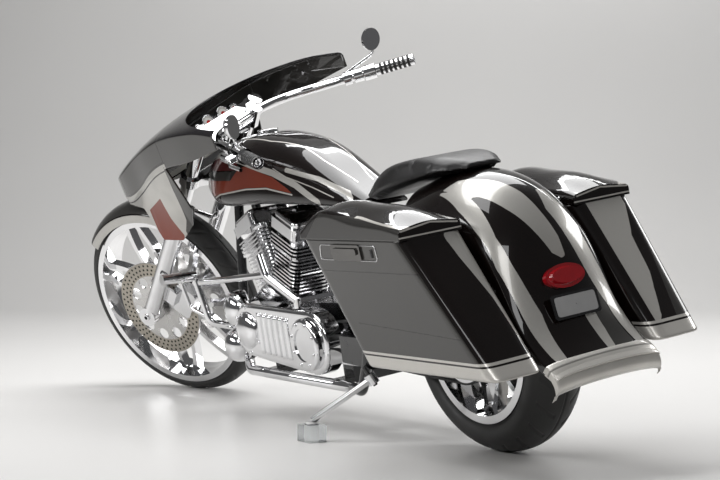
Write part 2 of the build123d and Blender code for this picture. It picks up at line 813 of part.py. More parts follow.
def bag_latches():
    """A latch bezel with a lever on each outboard face, just under the lid."""
    z_high, z_low = 650.0, 606.0
    ratio = (bag_outer_top - bag_outer_bottom) / (bag_top - bag_bottom)
    face_y = bag_outer_bottom + ratio * ((z_high + z_low) / 2 - bag_bottom) + seat_gap
    tilt = Plane(origin=(90, face_y, (z_high + z_low) / 2), x_dir=(1, 0, 0), z_dir=Vector(0, 1, -ratio))
    bezel = tilt * extrude(RectangleRounded(150, z_high - z_low, 8), 5)
    lever = tilt * Pos(0, -4, 5) * extrude(RectangleRounded(120, 18, 6), 5)
    return both(bezel + lever)


def on_fender(index, lift):
    """A frame on the fender's crest line, looking out."""
    (x, z), tilt = fender_stations[index][0], fender_stations[index][1]
    normal = Vector(-sin(radians(tilt)), 0, cos(radians(tilt)))
    return Plane(origin=Vector(x, 0, z) + normal * lift, x_dir=(0, 1, 0), z_dir=normal)


def seated_on_fender(shape, outward):
    """Trim a piece to the fender's surface and lift it off by the seating gap."""
    outside = (shape - rear_fender()).solids().sort_by(SortBy.VOLUME)[-1]
    return Pos(outward * seat_gap) * outside


def tail_light():
    """An oval lens in a rim, on the back of the fender."""
    at = on_fender(4, 0)
    shape = at * Pos(0, 0, -6) * extrude(Ellipse(64, 32), 18)
    shape += at * Pos(0, 0, 12) * extrude(Ellipse(56, 25), 12, taper=20)
    return seated_on_fender(shape, at.z_dir)


def plate_holder():
    """A blank plate on a block below the tail lamp."""
    at = Plane(origin=(-376, 0, 432), x_dir=(0, 1, 0), z_dir=(-0.97, 0, 0.24))
    shape = at * Pos(0, 0, -10) * Box(60, 30, 30)
    shape += at * Pos(0, 0, 4) * extrude(RectangleRounded(150, 66, 8), 4)
    return seated_on_fender(shape, at.z_dir)


def rear_caliper():
    """A caliper over the rear disc, on a plate beside the right arm."""
    y = -rear_disc_y
    angle = radians(32)
    outward = Vector(cos(angle), 0, sin(angle))
    at = Plane(origin=rear_axle_point + outward * 132 + Vector(0, y - 2, 0), x_dir=outward, z_dir=(0, 1, 0))
    body = fillet((at * Box(84, 92, 36)).edges().filter_by(Axis.Y), 14)
    bracket = block((70, -arm_half + arm_diameter / 2 + 2 * seat_gap, 300), (130, y - 8, 390))
    groove = Pos(rear_axle_point + Vector(0, y, 0)) * Rot(90, 0, 0) * Cylinder(
        rear_disc_radius + 3, disc_thickness + 3)
    return body + bracket - groove


# Side stand and the clear block under its foot
stand_up = Vector(ground.x_dir.Z, ground.y_dir.Z, ground.z_dir.Z)


def foot_point():
    """The middle of the foot's sole on the machine, where the sole meets the block's top."""
    x, y = stand_foot
    rise = block_size[2] + seat_gap - ground.origin.Z - ground.x_dir.Z * x - ground.y_dir.Z * y
    return Vector(x, y, rise / ground.z_dir.Z)


stand_leg = foot_point() + stand_up * 14 - Vector(stand_pivot)
stand_axis = stand_leg.cross(Vector(stand_folded)).normalized()


def side_stand():
    """A bored eye, a tapered leg and a flat foot."""
    pivot = Vector(stand_pivot)
    eye = rod(pivot - stand_axis * 16, pivot + stand_axis * 16, 34)
    sole = foot_point()
    leg = rod(pivot, sole + stand_up * 10, 20)
    foot = rod(sole, sole + stand_up * 8, 40)
    hole = rod(pivot - stand_axis * 40, pivot + stand_axis * 40, stand_pin + 2 * run_gap)
    return eye + leg + foot - hole


# Fork and front
def fork_tubes():
    """Two straight tubes that stand on the lowers."""
    tubes = []
    for side in (1, -1):
        tubes.append(rod(on_leg(lower_length + seat_gap, side), on_leg(tube_top, side), tube_diameter))
    return Compound(children=tubes)


def fork_lowers():
    """Lower legs with a swollen axle clamp."""
    legs = []
    axle_hole = Pos(front_axle_point) * Rot(90, 0, 0) * Cylinder(axle_diameter / 2 + seat_gap, 600)
    for side in (1, -1):
        leg = rod(on_leg(-24, side), on_leg(lower_length, side), lower_diameter)
        leg = fillet(leg.edges().filter_by(GeomType.CIRCLE), 10)
        clamp = Pos(on_leg(0, side)) * Rot(90, 0, 0) * Cylinder(36, lower_diameter - 4)
        legs.append(leg + clamp - axle_hole)
    return Compound(children=legs)


def tree_plate(height, boss):
    """A clamp plate square to the steering axis that reaches out to both legs."""
    forward = axle_lead - height * tan(radians(tree_rake))
    at = Plane(origin=on_stem(height - tree_thickness / 2), x_dir=steer_forward, z_dir=steer_up)
    half = leg_half_spacing
    outline = Circle(boss) + Pos(forward, half) * Circle(boss) + Pos(forward, -half) * Circle(boss)
    outline += make_face(Polyline(
        (-boss * 0.6, -boss * 0.8), (forward - boss * 0.5, -half - boss * 0.7), (forward + boss * 0.8, -half),
        (forward + boss * 0.8, half), (forward - boss * 0.5, half + boss * 0.7), (-boss * 0.6, boss * 0.8),
        close=True))
    plate = at * extrude(outline, tree_thickness)
    for side in (1, -1):
        plate -= rod(on_leg(height - 120, side), on_leg(height + 120, side), tube_diameter + 2 * seat_gap)
    return plate


def lower_fork_tree():
    """The lower clamp with the stem and its two bearing seats."""
    shape = tree_plate(lower_tree, tree_boss)
    stem_end = upper_tree - tree_thickness / 2 - seat_gap
    shape += rod(on_stem(lower_tree), on_stem(stem_end), stem_diameter)
    for height in (lower_tree + tree_thickness / 2 + 1, upper_tree - tree_thickness / 2 - 25):
        shape += rod(on_stem(height), on_stem(height + 22), neck_bore - 2 * run_gap)
    return shape


bar_centre = on_stem(upper_tree + bar_lift)


def upper_fork_tree():
    """The upper clamp with two risers that hold the bar."""
    shape = tree_plate(upper_tree, tree_boss)
    for side in (1, -1):
        low = on_stem(upper_tree, 0, side * 62)
        high = on_stem(upper_tree + bar_lift + bar_diameter / 2 + 9, 0, side * 62)
        shape += Plane(origin=low, x_dir=steer_forward, z_dir=steer_up) * extrude(
            RectangleRounded(54, 34, 10), (high - low).length)
    hole = rod(bar_centre - Vector(0, 200, 0), bar_centre + Vector(0, 200, 0), bar_diameter + 2 * seat_gap)
    return shape - hole


def bar_points():
    """The bar's route from grip to grip: straight across the risers, then pulled back."""
    end = from_front(*grip_end)
    shoulder = bar_centre + Vector(0, bar_shoulder, 0)
    return [Vector(end.X, -end.Y, end.Z), Vector(shoulder.X, -shoulder.Y, shoulder.Z), shoulder, end]


def handlebar():
    return bent_tube(bar_points(), 75, bar_diameter)


def hand_controls():
    """Grips, switch housings, reservoirs and levers near the ends of the bar."""
    end, shoulder = bar_points()[3], bar_points()[2]
    inward = (shoulder - end).normalized()
    bore = rod(end - inward * 40, end + inward * 260, bar_diameter + 2 * seat_gap)
    grip = rod(end - inward * 8, end + inward * grip_length, grip_diameter)
    housing = rod(end + inward * (grip_length + 2), end + inward * (grip_length + 42), 52)
    ahead = Vector(0, 0, 1).cross(inward).normalized()
    ahead = ahead if ahead.X > 0 else -ahead
    knuckle = end + inward * (grip_length + 24)
    perch = rod(knuckle, knuckle + ahead * 52, 24)
    blade = [knuckle + ahead * 46, end + inward * 90 + ahead * 62, end + inward * 5 + ahead * 56]
    lever = bent_tube(blade, 30, 12)
    clamp = rod(end + inward * (grip_length + 46), end + inward * (grip_length + 78), 46)
    cup = end + inward * (grip_length + 40) + ahead * 40
    tank = rod(cup, cup + inward * 56, 30)
    arm = rod(end + inward * (grip_length + 62), end + inward * (grip_length + 62) + ahead * 34, 18)
    shape = grip + (housing + perch + lever + clamp + arm + tank) - bore
    return both(shape)


def mirrors():
    """Round mirrors on stalks from the bar clamps."""
    end, shoulder = bar_points()[3], bar_points()[2]
    inward = (shoulder - end).normalized()
    foot = end + inward * (grip_length + 100)
    centre = from_front(*mirror_centre)
    look = Vector(-0.97, -0.22, -0.1).normalized()
    half = mirror_diameter / 2
    outline = make_face(Polyline((0, 0), (half, 0), (half, 8), (half - 10, 20), (0, 24), close=True))
    facing = Plane(origin=centre + look * 8, x_dir=(0, 1, 0), z_dir=-look)
    head = facing * (Rot(90, 0, 0) * revolve(outline, Axis.Y))
    collar = rod(foot - inward * 12, foot + inward * 12, bar_diameter + 14)
    collar -= rod(foot - inward * 30, foot + inward * 30, bar_diameter + 2 * seat_gap)
    elbow = centre - look * 6 - Vector(0, 0, half + 12)
    stalk = bent_tube([foot + Vector(0, 0, bar_diameter / 2 + 4), elbow, centre - look * 6], 18, 10)
    return both(head + collar + stalk)


fender_gap = 14.0
front_fender_half = 74.0
front_fender_start = 48.0
front_fender_end = 122.0
front_fender_drop = 34.0
front_fender_depth = 64.0
front_stay_angle = 114.0
front_stay = 18.0


def front_fender():
    """A narrow hugging fender: an arch turned about the axle, on two stays to the fork lowers."""
    crest = front_radius + fender_gap + panel
    edge = crest - front_fender_drop
    hem = crest - front_fender_depth
    half = front_fender_half
    inside = half - panel
    outline = make_face([
        ThreePointArc((edge, -half), (crest, 0), (edge, half)),
        Line((edge, half), (hem, half)),
        Line((hem, half), (hem, inside)),
        Line((hem, inside), (edge, inside)),
        ThreePointArc((edge, inside), (crest - panel, 0), (edge, -inside)),
        Line((edge, -inside), (hem, -inside)),
        Line((hem, -inside), (hem, -half)),
        Line((hem, -half), (edge, -half)),
    ])
    sweep_angle = front_fender_end - front_fender_start
    shape = Rot(0, -front_fender_start, 0) * revolve(outline, -Axis.Y, revolution_arc=sweep_angle)
    shape = about_axle(shape, front_axle_point)
    stay_radius = (edge + hem) / 2
    turn = radians(front_stay_angle)
    on_skirt = front_axle_point + Vector(cos(turn), 0, sin(turn)) * stay_radius
    for side in (1, -1):
        reach = leg_half_spacing - lower_diameter / 2 - seat_gap
        foot = front_axle_point + leg_up * stay_radius + Vector(0, side * reach, 0)
        elbow = foot - Vector(0, side * front_stay, 0)
        shape += rod(foot, elbow, front_stay)
        shape += rod(elbow, on_skirt + Vector(0, side * (half - panel / 2), 0), front_stay)
    return shape


def front_calipers():
    """Calipers behind the fork lowers, straddling the discs."""
    pair = []
    back = Vector(leg_up.Z, 0, -leg_up.X) * -1
    for side in (1, -1):
        centre = front_axle_point + leg_up * 118 + back * 92 + Vector(0, side * front_disc_y, 0)
        at = Plane(origin=centre, x_dir=back, z_dir=leg_up)
        body = at * Box(92, 44, 112)
        body = fillet(body.edges().filter_by(Axis.Y), 16)
        body -= Pos(front_axle_point + Vector(0, side * front_disc_y, 0)) * Rot(90, 0, 0) * Cylinder(
            front_disc_radius + 3, disc_thickness + 3)
        lug = at * Pos(-52, -side * 26, 0) * Box(60, 26, 60)
        body += lug - Pos(front_axle_point + Vector(0, side * front_disc_y, 0)) * Rot(90, 0, 0) * Cylinder(
            front_disc_radius + 3, disc_thickness + 3)
        body -= rod(on_leg(-60, side), on_leg(lower_length, side), lower_diameter + 2 * seat_gap)
        pair.append(body.solids().sort_by(SortBy.VOLUME)[-1])
    return Compound(children=pair)


visor_stations = [
    # x from the front axle, crest height, half width, drop at the sides, depth of the skirt
    (17, 872, 30, 12, 80),
    (-45, 902, 78, 24, 112),
    (-215, 980, 152, 32, 142),
    (-335, 1027, 206, 36, 133),
    (-485, 1073, 262, 38, 131),
    (-655, 1098, 318, 40, 131),
    (-755, 1102, 344, 42, 115),
    (-843, 1098, 366, 50, 92),
]
windshield_start = -485.0
notch_centre = -881.0
notch_radius = 346.0
visor_room = 700.0


def visor():
    """The whole beaked shell from the nose to the swept-back tips."""
    sections = []
    for x, crest, half, drop, depth in visor_stations:
        sections.append(arch_section((wheelbase + x, crest), 0, half, drop, depth, panel))
    return loft(sections)


def visor_part(rear, front, half):
    """The part of the shell's room between two distances from the front axle."""
    middle = visor_stations[4][1]
    return block(from_front(rear, -half, middle - visor_room), from_front(front, half, middle + visor_room))


def fairing():
    """The beak ahead of the windshield."""
    return visor() & visor_part(windshield_start + seat_gap / 2, visor_room, visor_room)


def windshield():
    """The swept-back screen, with a round notch over the bars in plan."""
    screen = visor() - visor_part(windshield_start - seat_gap / 2, visor_room, visor_room)
    screen -= Pos(from_front(notch_centre, 0, visor_stations[4][1])) * Cylinder(notch_radius, visor_room)
    return screen - visor_part(notch_centre - visor_room, notch_centre, notch_radius)


cheek_stations = [
    # x from the front axle, top (y, z), bottom (y, z)
    (-478, (257, 948), (214, 776)),
    (-427, (239, 930), (190, 706)),
    (-355, (212, 908), (188, 658)),
    (-267, (174, 872), (188, 668)),
    (-213, (150, 846), (172, 786)),
    (-55, (82, 798), (82, 780)),
]
cheek_wall = 6.0
cheek_stay = 530.0


def fork_cheeks():
    """Side panels that fit under the fairing's edge over the fork tubes, each on a stay."""
    sections = []
    for x, top, bottom in cheek_stations:
        corners = [top, bottom, (bottom[0] - cheek_wall, bottom[1]), (top[0] - cheek_wall, top[1])]
        outline = make_face(Polyline(*corners, close=True))
        sections.append(Plane(origin=from_front(x, 0, 0), x_dir=(0, 1, 0), z_dir=(1, 0, 0)) * outline)
    cheek = loft(sections, ruled=True)
    shell = visor()
    for left, up in ((0, 0), (seat_gap, 0), (-seat_gap, 0), (0, -seat_gap)):
        cheek -= Pos(0, left, up) * shell
    cheek = cheek.solids().sort_by(SortBy.VOLUME)[-1]
    at = on_leg(cheek_stay, 1)
    stay = rod(at + Vector(0, tube_diameter / 2 + seat_gap, 0), at + Vector(0, 58, 0), 20)
    return both(cheek + stay)


dash_centre = (-509.0, 0.0, 998.0)
dash_width = 236.0
dash_height = 46.0
dash_arm = 84.0
gauges = ((-96, 15), (-40, 27), (40, 27), (96, 15))


def dash():
    """The panel below the screen with round gauges that face the rider, on two arms from the upper clamp."""
    at = Plane(origin=from_front(*dash_centre), x_dir=(0, 1, 0), z_dir=Vector(-0.94, 0, 0.34))
    shape = at * extrude(RectangleRounded(dash_width, dash_height, 18), 10)
    for y, radius in gauges:
        shape += at * Pos(y, 3, 5) * extrude(Circle(radius), 17)
    for side in (1, -1):
        arm_end = on_stem(upper_tree, 0, side * dash_arm)
        shape += rod(from_front(dash_centre[0], side * dash_arm, dash_centre[2]), arm_end, 12)
    for height in (lower_tree, upper_tree):
        tree_front = axle_lead - height * tan(radians(tree_rake)) + tree_boss * 0.8 + seat_gap
        tree_room = Plane(origin=on_stem(height, tree_front), x_dir=(0, 1, 0), z_dir=-steer_forward)
        shape -= tree_room * extrude(Rectangle(2 * dash_width, dash_width), dash_width)
    return shape


lamp_back = -135.0
lamp_length = 90.0
lamp_half_width = 58.0
lamp_half_height = 36.0
lamp_crest = 905.0


def headlamp():
    """An oval lamp in the mouth of the beak."""
    crest = lamp_crest - panel - seat_gap
    base = Plane(origin=from_front(lamp_back, 0, crest - lamp_half_height), x_dir=(0, 1, 0), z_dir=(1, 0, 0))
    lamp = base * extrude(Ellipse(lamp_half_width, lamp_half_height), lamp_length)
    return fillet(lamp.edges().sort_by(Axis.X)[-1], 8)


def stand_block():
    """A clear block on the ground under the stand's foot."""
    sole = ground.from_local_coords(foot_point())
    width, length, height = block_size
    return Pos(sole.X, sole.Y, height / 2) * Box(width, length, height)


# Every piece: body it moves with, and the function that draws it.
pieces = {
    "chassis": [frame, swingarm, rear_axle, engine_crankcase, cylinders, rocker_boxes, cam_cover, pushrod_tubes,
                air_cleaner, primary_cover, transmission, drive_belt, exhaust, oil_tank, foot_controls,
                shift_linkage, fuel_tank, fuel_cap, seat, rear_fender, left_bag, right_bag, bag_latches,
                bag_hinges, tail_light, plate_holder, rear_caliper],
    "side_stand": [side_stand],
    "left_lid": [left_bag_lid],
    "right_lid": [right_bag_lid],
    "rear_wheel": [rear_tyre, rear_rim, rear_pulley, rear_brake_disc],
    "steering": [lower_fork_tree, upper_fork_tree, fork_tubes, fork_lowers, front_axle, front_calipers,
                 front_fender, fairing, windshield, fork_cheeks, dash, headlamp, handlebar, hand_controls,
                 mirrors],
    "front_wheel": [front_tyre, front_rim, front_brake_discs],
}
steered_bodies = ("steering", "front_wheel")


def parked_parts():
    """All pieces on the ground, as parked, moved so that the middle of the footprint is the origin."""
    parked = {}
    for body, makers in pieces.items():
        for maker in makers:
            shape = maker()
            if body in steered_bodies:
                shape = shape.rotate(steer_axis, steer_stop)
            parked[maker.__name__] = (body, ground * shape)
    parked["stand_block"] = ("chassis", stand_block())
    boxes = [shape.bounding_box() for _, shape in parked.values()]
    low = [min(tuple(box.min)[axis] for box in boxes) for axis in range(3)]
    high = [max(tuple(box.max)[axis] for box in boxes) for axis in range(3)]
    shift = Vector(-(low[0] + high[0]) / 2, -(low[1] + high[1]) / 2, -low[2])
    return {name: (body, Pos(shift) * shape) for name, (body, shape) in parked.items()}, shift


if __name__ == "__main__":
    os.makedirs("parts", exist_ok=True)
    parts, origin_shift = parked_parts()
    for name, (body, shape) in parts.items():
        export_step(shape, f"parts/{name}.step")
    print("pieces", len(parts), "shift", origin_shift)
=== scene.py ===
# %% [markdown]
# # A stretched bagger motorcycle
# The solids come from the CAD model and fix every size. This lesson gives them their looks: gloss paint
# with metallic stripes, chrome, leather, rubber and a studio to stand in. The machine is drawn upright,
# in millimetres, with +X forward, +Y left and +Z up from the ground below the rear axle. One function
# then leans it over onto its stand, and turns the front pieces to the steering stop, so every shape can
# be written as if the machine stood straight.

# %% Load the frame
import json
import math

import bmesh
import bpy
import numpy as np
from mathutils import Matrix, Vector


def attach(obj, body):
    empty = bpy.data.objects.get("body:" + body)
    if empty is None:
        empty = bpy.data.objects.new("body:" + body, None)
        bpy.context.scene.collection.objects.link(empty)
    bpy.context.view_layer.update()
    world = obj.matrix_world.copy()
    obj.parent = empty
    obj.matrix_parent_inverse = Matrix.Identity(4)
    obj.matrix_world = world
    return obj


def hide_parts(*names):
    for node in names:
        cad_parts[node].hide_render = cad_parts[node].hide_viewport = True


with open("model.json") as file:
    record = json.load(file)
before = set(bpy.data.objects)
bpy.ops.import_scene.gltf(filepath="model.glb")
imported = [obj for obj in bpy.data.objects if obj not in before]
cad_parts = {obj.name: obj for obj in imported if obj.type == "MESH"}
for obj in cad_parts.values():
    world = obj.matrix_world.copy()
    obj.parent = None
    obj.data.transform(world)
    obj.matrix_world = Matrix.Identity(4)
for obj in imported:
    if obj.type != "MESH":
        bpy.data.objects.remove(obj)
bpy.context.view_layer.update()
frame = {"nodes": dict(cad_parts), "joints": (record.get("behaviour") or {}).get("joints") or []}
joints = {joint["name"]: joint for joint in frame["joints"]}
nodes = frame["nodes"]
print("loaded", len(nodes), "nodes")

# %% [markdown]
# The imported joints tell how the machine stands: the rear wheel's axis points left, the lid's hinge points
# forward, and their cross product points up along the leaning machine. The steering joint gives the axis
# that the front pieces turn about. From these four arrows every upright point finds its parked place.

# %% Machine axes
REAR_RADIUS = 323.0
FRONT_RADIUS = 375.0
WHEELBASE = 1935.0
STEER_STOP = math.radians(25.0)
FRONT_BODIES = ("steering", "front_wheel")
MIRROR = np.array([1, -1, 1])

machine_left = np.array(joints["rear_wheel_spin"]["axis"])
machine_ahead = np.array(joints["left_lid_hinge"]["axis"])
machine_up = np.cross(machine_ahead, machine_left)
rear_axle = np.array(joints["rear_wheel_spin"]["pos_m"])
steer_pivot = np.array(joints["steering"]["pos_m"])
steer_axis = np.array(joints["steering"]["axis"])


def turned(points, pivot, axis, angle):
    """Rodrigues' rotation: the part along the axis stays, the rest turns in the plane across it."""
    arm = points - pivot
    along = (arm @ axis)[..., None] * axis
    across = arm - along
    return pivot + along + across * math.cos(angle) + np.cross(axis, across) * math.sin(angle)


def parked(points, steered=False):
    """Upright machine millimetres to metres in the shared frame, leaned over, and steered if asked."""
    points = np.asarray(points, float) / 1000.0
    points = points - np.array([0, 0, REAR_RADIUS / 1000.0])
    placed = rear_axle + points @ np.array([machine_ahead, machine_left, machine_up])
    return turned(placed, steer_pivot, steer_axis, STEER_STOP) if steered else placed


print("lean", round(math.degrees(math.asin(-machine_left[2])), 2), "degrees")

# %% [markdown]
# Smooth bodywork is drawn through a few stations. A natural cubic spline bends as little as it can while
# it passes through each of them, which is how a thin batten lies against pins on a drawing board. Curve
# objects could do the same, but arrays of points can be measured, cut and painted before they become a
# mesh.

# %% Splines


def spline(knots, values, at):
    """Natural cubic spline: solve for second derivatives at the knots, then evaluate each piece's cubic."""
    knots, values, at = np.asarray(knots, float), np.asarray(values, float), np.asarray(at, float)
    flat = values.reshape(len(knots), -1)
    n, h = len(knots), np.diff(knots)
    system, right = np.eye(n), np.zeros((n, flat.shape[1]))
    for i in range(1, n - 1):
        system[i, i - 1:i + 2] = h[i - 1], 2 * (h[i - 1] + h[i]), h[i]
        right[i] = 6 * ((flat[i + 1] - flat[i]) / h[i] - (flat[i] - flat[i - 1]) / h[i - 1])
    bend = np.linalg.solve(system, right)
    k = np.clip(np.searchsorted(knots, at, side="right") - 1, 0, n - 2)
    a, b, width = (knots[k + 1] - at)[:, None], (at - knots[k])[:, None], h[k][:, None]
    out = (bend[k] * a**3 + bend[k + 1] * b**3) / (6 * width)
    out += (flat[k] / width - bend[k] * width / 6) * a + (flat[k + 1] / width - bend[k + 1] * width / 6) * b
    return out.reshape(at.shape + values.shape[1:])


def run_length(points):
    """Distance run along a polyline up to each of its points."""
    return np.concatenate([[0], np.cumsum(np.linalg.norm(np.diff(points, axis=0), axis=1))])


def along_stations(stations, count, key=None):
    """Stations resampled by a spline over their chord length, or over a given column."""
    stations = np.asarray(stations, float)
    chord = run_length(stations[:, :2] if key is None else stations[:, key:key + 1])
    return spline(chord, stations, np.linspace(0, chord[-1], count))


print("a batten over three pins:", spline([0, 1, 2], [0, 1, 0], [0.5, 1.0, 1.5]).round(4))

# %% [markdown]
# Tank, seat, bags and lids have sections with rounded corners. Each section starts as a few corners,
# every corner becomes a short curve, and the outline is then resampled at even steps, so that long flat
# sides also hold the points that a paint scheme needs.

# %% Outlines
HALF_EDGE = 0.49
ROUNDING = 1.35


def bezier(start, corner, end, t):
    """Quadratic Bezier: (1 - t)^2 start + 2 t (1 - t) corner + t^2 end."""
    return (1 - t)**2 * start + 2 * t * (1 - t) * corner + t**2 * end


def rounded(corners, radii, steps=8):
    """Closed outline: each corner becomes a quadratic Bezier between points one radius away along its edges.
    corners is (..., k, 2) and radii (..., k); the result is (..., k * (steps + 1), 2)."""
    corners, radii = np.asarray(corners, float), np.asarray(radii, float)
    before, after = np.roll(corners, 1, axis=-2) - corners, np.roll(corners, -1, axis=-2) - corners
    size_before = np.linalg.norm(before, axis=-1, keepdims=True)
    size_after = np.linalg.norm(after, axis=-1, keepdims=True)
    reach = np.minimum(radii[..., None], HALF_EDGE * np.minimum(size_before, size_after))
    start, end = corners + before / size_before * reach, corners + after / size_after * reach
    t = np.linspace(0, 1, steps + 1)[:, None]
    arcs = bezier(start[..., None, :], corners[..., None, :], end[..., None, :], t)
    return arcs.reshape(corners.shape[:-2] + (-1, 2))


def even(outlines, count):
    """Closed outlines (rows, k, 2) resampled at equal steps of each row's own length."""
    rows = []
    for row in np.concatenate([outlines, outlines[:, :1]], axis=1):
        place = run_length(row)
        at = np.linspace(0, place[-1], count, endpoint=False)
        rows.append(np.stack([np.interp(at, place, row[:, 0]), np.interp(at, place, row[:, 1])], -1))
    return np.stack(rows)


def flat_outline(corners, radius, count):
    """One rounded outline (count, 2) at even steps."""
    return even(rounded(np.array([corners]), np.full((1, len(corners)), radius)), count)[0]


def corner_rows(*corners):
    """Corners (rows, k, 2) from k pairs; an entry is one number, or one value for every row."""
    values = np.broadcast_arrays(*(value for pair in corners for value in pair))
    return np.stack(values, -1).reshape(len(values[0]), len(corners), 2)


def placed_rings(outlines, value, axis):
    """Flat outlines (rows, k, 2) put in space: each row's own coordinate goes in at the given axis."""
    column = np.broadcast_to(value[:, None, None], outlines.shape[:2] + (1,))
    return np.concatenate([outlines[..., :axis], column, outlines[..., axis:]], axis=-1)


soft_square = rounded([(0, 0), (9, 0), (9, 9), (0, 9)], np.ones(4))
print("a square with rounded corners has", len(soft_square), "points")

# %% [markdown]
# A piece is a grid of points: rows run one way over the surface, columns the other, and neighbouring
# points make quads. The grid may close on itself either way, and its end rings may be filled. The points
# go into the mesh in whole arrays, then numbers that a paint scheme needs are stored on the points as
# attributes.

# %% Meshes from grids


def grid_faces(rows, columns, wrap_rows=False, wrap_columns=False, first=0):
    """Quads between neighbouring points of a rows x columns grid, as an index array."""
    r = np.arange(rows if wrap_rows else rows - 1)
    c = np.arange(columns if wrap_columns else columns - 1)
    r, c = np.meshgrid(r, c, indexing="ij")
    r2, c2 = (r + 1) % rows, (c + 1) % columns
    quads = np.stack([r * columns + c, r2 * columns + c, r2 * columns + c2, r * columns + c2], axis=-1)
    return first + quads.reshape(-1, 4)


def build_mesh(name, points, faces, fields=None):
    """An object at the origin from row-frame points in metres, index faces and named point attributes."""
    mesh = bpy.data.meshes.new(name)
    mesh.from_pydata(np.asarray(points, float).reshape(-1, 3), [], [list(map(int, face)) for face in faces])
    for key, values in (fields or {}).items():
        layer = mesh.attributes.new(key, "FLOAT", "POINT")
        layer.data.foreach_set("value", np.asarray(values, np.float32).ravel())
    mesh.polygons.foreach_set("use_smooth", np.ones(len(mesh.polygons), bool))
    mesh.validate()
    obj = bpy.data.objects.new(name, mesh)
    bpy.context.scene.collection.objects.link(obj)
    return obj


def grid_piece(name, grids, body, wrap_rows=False, wrap_columns=False, fields=None, fill_ends=False):
    """One object from one or more grids (rows, columns, 3) in machine millimetres, steered if its body turns
    with the bars. fill_ends closes each end ring with a single face."""
    grids = grids if isinstance(grids, (list, tuple)) else [grids]
    points, faces, first = [], [], 0
    for grid in grids:
        rows, columns = grid.shape[:2]
        faces += list(grid_faces(rows, columns, wrap_rows, wrap_columns, first))
        if fill_ends:
            faces.append(first + np.arange(columns)[::-1])
            faces.append(first + (rows - 1) * columns + np.arange(columns))
        points.append(parked(grid.reshape(-1, 3), body in FRONT_BODIES))
        first += rows * columns
    return build_mesh(name, np.concatenate(points), faces, fields)


print("a grid of 3 x 4 points has", len(grid_faces(3, 4)), "quads")

# %% [markdown]
# A new mesh still needs care: points that lie on each other are merged, faces are turned to look
# outwards, and a thin panel is drawn as a skin whose wall a Solidify modifier makes, because a skin is
# easier to shape and paint. Every piece then gets its finish, the body that it rides on and the CAD nodes
# that it stands for.

# %% Finishing pieces
MERGE, PANEL = 0.00002, 0.004


def tidy_normals(obj):
    """Merge points that lie on each other, then turn all faces outwards."""
    work = bmesh.new()
    work.from_mesh(obj.data)
    bmesh.ops.remove_doubles(work, verts=work.verts, dist=MERGE)
    bmesh.ops.recalc_face_normals(work, faces=work.faces)
    work.to_mesh(obj.data)
    work.free()
    return obj


def outward(obj, inner):
    """Turn a skin's faces away from a point inside it, given in machine millimetres."""
    mesh = obj.data
    face = mesh.polygons[len(mesh.polygons) // 2]
    if np.dot(np.array(face.center) - parked(np.array([inner]))[0], np.array(face.normal)) < 0:
        mesh.flip_normals()
    return obj


def modifier(obj, kind, **settings):
    """Add a modifier with its settings."""
    added = obj.modifiers.new(kind.title(), kind)
    for key, value in settings.items():
        setattr(added, key, value)
    return added


def wall(obj, rim, thickness=PANEL, offset=-1.0):
    """Thicken a skin, inwards unless an offset says otherwise, and bevel its rim."""
    modifier(obj, "SOLIDIFY", thickness=thickness, offset=offset)
    modifier(obj, "BEVEL", width=rim, segments=2, limit_method="ANGLE", angle_limit=1.0)
    return obj


def finish_piece(obj, body, material, *node_names, slot=None):
    """Give the piece its finish, its body and the CAD nodes that it stands for."""
    obj.data.materials.append(material)
    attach(obj, body)
    if node_names:
        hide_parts(*node_names)
    print(obj.name, len(obj.data.polygons), "faces on", body)
    return obj


def panel(name, grid, fields, inner, rim, body, material, *node_names, slot=None):
    """A thin painted panel: one grid, turned away from an inner point, thickened and finished."""
    skin = outward(grid_piece(name, grid, body, fields=fields), inner)
    return finish_piece(wall(skin, rim), body, material, *node_names, slot=slot)


print("panels are", PANEL * 1000, "mm thick")

# %% [markdown]
# Every finish is a small node tree. A few helpers keep the trees short: a noise for wear and clouding, a
# ramp that moves a value to another range, a mix of two colours or numbers, and a bump.

# %% Node helpers


def new_material(name):
    """A material, its node tree and its surface shader."""
    material = bpy.data.materials.new(name)
    material.use_nodes = True
    tree = material.node_tree
    return material, tree, tree.nodes["Principled BSDF"]


def node(tree, kind, **settings):
    """A new node; each setting goes to the input of that name, or else to the node itself."""
    made = tree.nodes.new(kind)
    for key, value in settings.items():
        if key in made.inputs:
            made.inputs[key].default_value = value
        else:
            setattr(made, key, value)
    return made


def noise(tree, scale, detail=3.0):
    """Noise on Object coordinates, about 0.5 on average."""
    place = node(tree, "ShaderNodeTexCoord").outputs["Object"]
    made = node(tree, "ShaderNodeTexNoise", Scale=scale, Detail=detail, Roughness=0.5)
    tree.links.new(place, made.inputs["Vector"])
    return made.outputs["Fac"]


def ramp(tree, value, low, high, start=0.0, end=1.0):
    """A value moved from the range low..high to start..end."""
    made = node(tree, "ShaderNodeMapRange")
    for socket, number in zip(("From Min", "From Max", "To Min", "To Max"), (low, high, start, end)):
        made.inputs[socket].default_value = number
    tree.links.new(value, made.inputs["Value"])
    return made.outputs["Result"]


def blend(tree, factor, first, second):
    """first + (second - first) * factor, for colours, or for numbers where second is one. Each is a socket
    or a plain value."""
    number = isinstance(second, float)
    made = node(tree, "ShaderNodeMix", data_type="FLOAT" if number else "RGBA")
    sockets = (made.inputs[2], made.inputs[3]) if number else (made.inputs[6], made.inputs[7])
    tree.links.new(factor, made.inputs["Factor"])
    for socket, value in zip(sockets, (first, second)):
        if isinstance(value, bpy.types.NodeSocket):
            tree.links.new(value, socket)
        else:
            socket.default_value = value if number else (*value, 1.0)
    return made.outputs[0] if number else made.outputs[2]


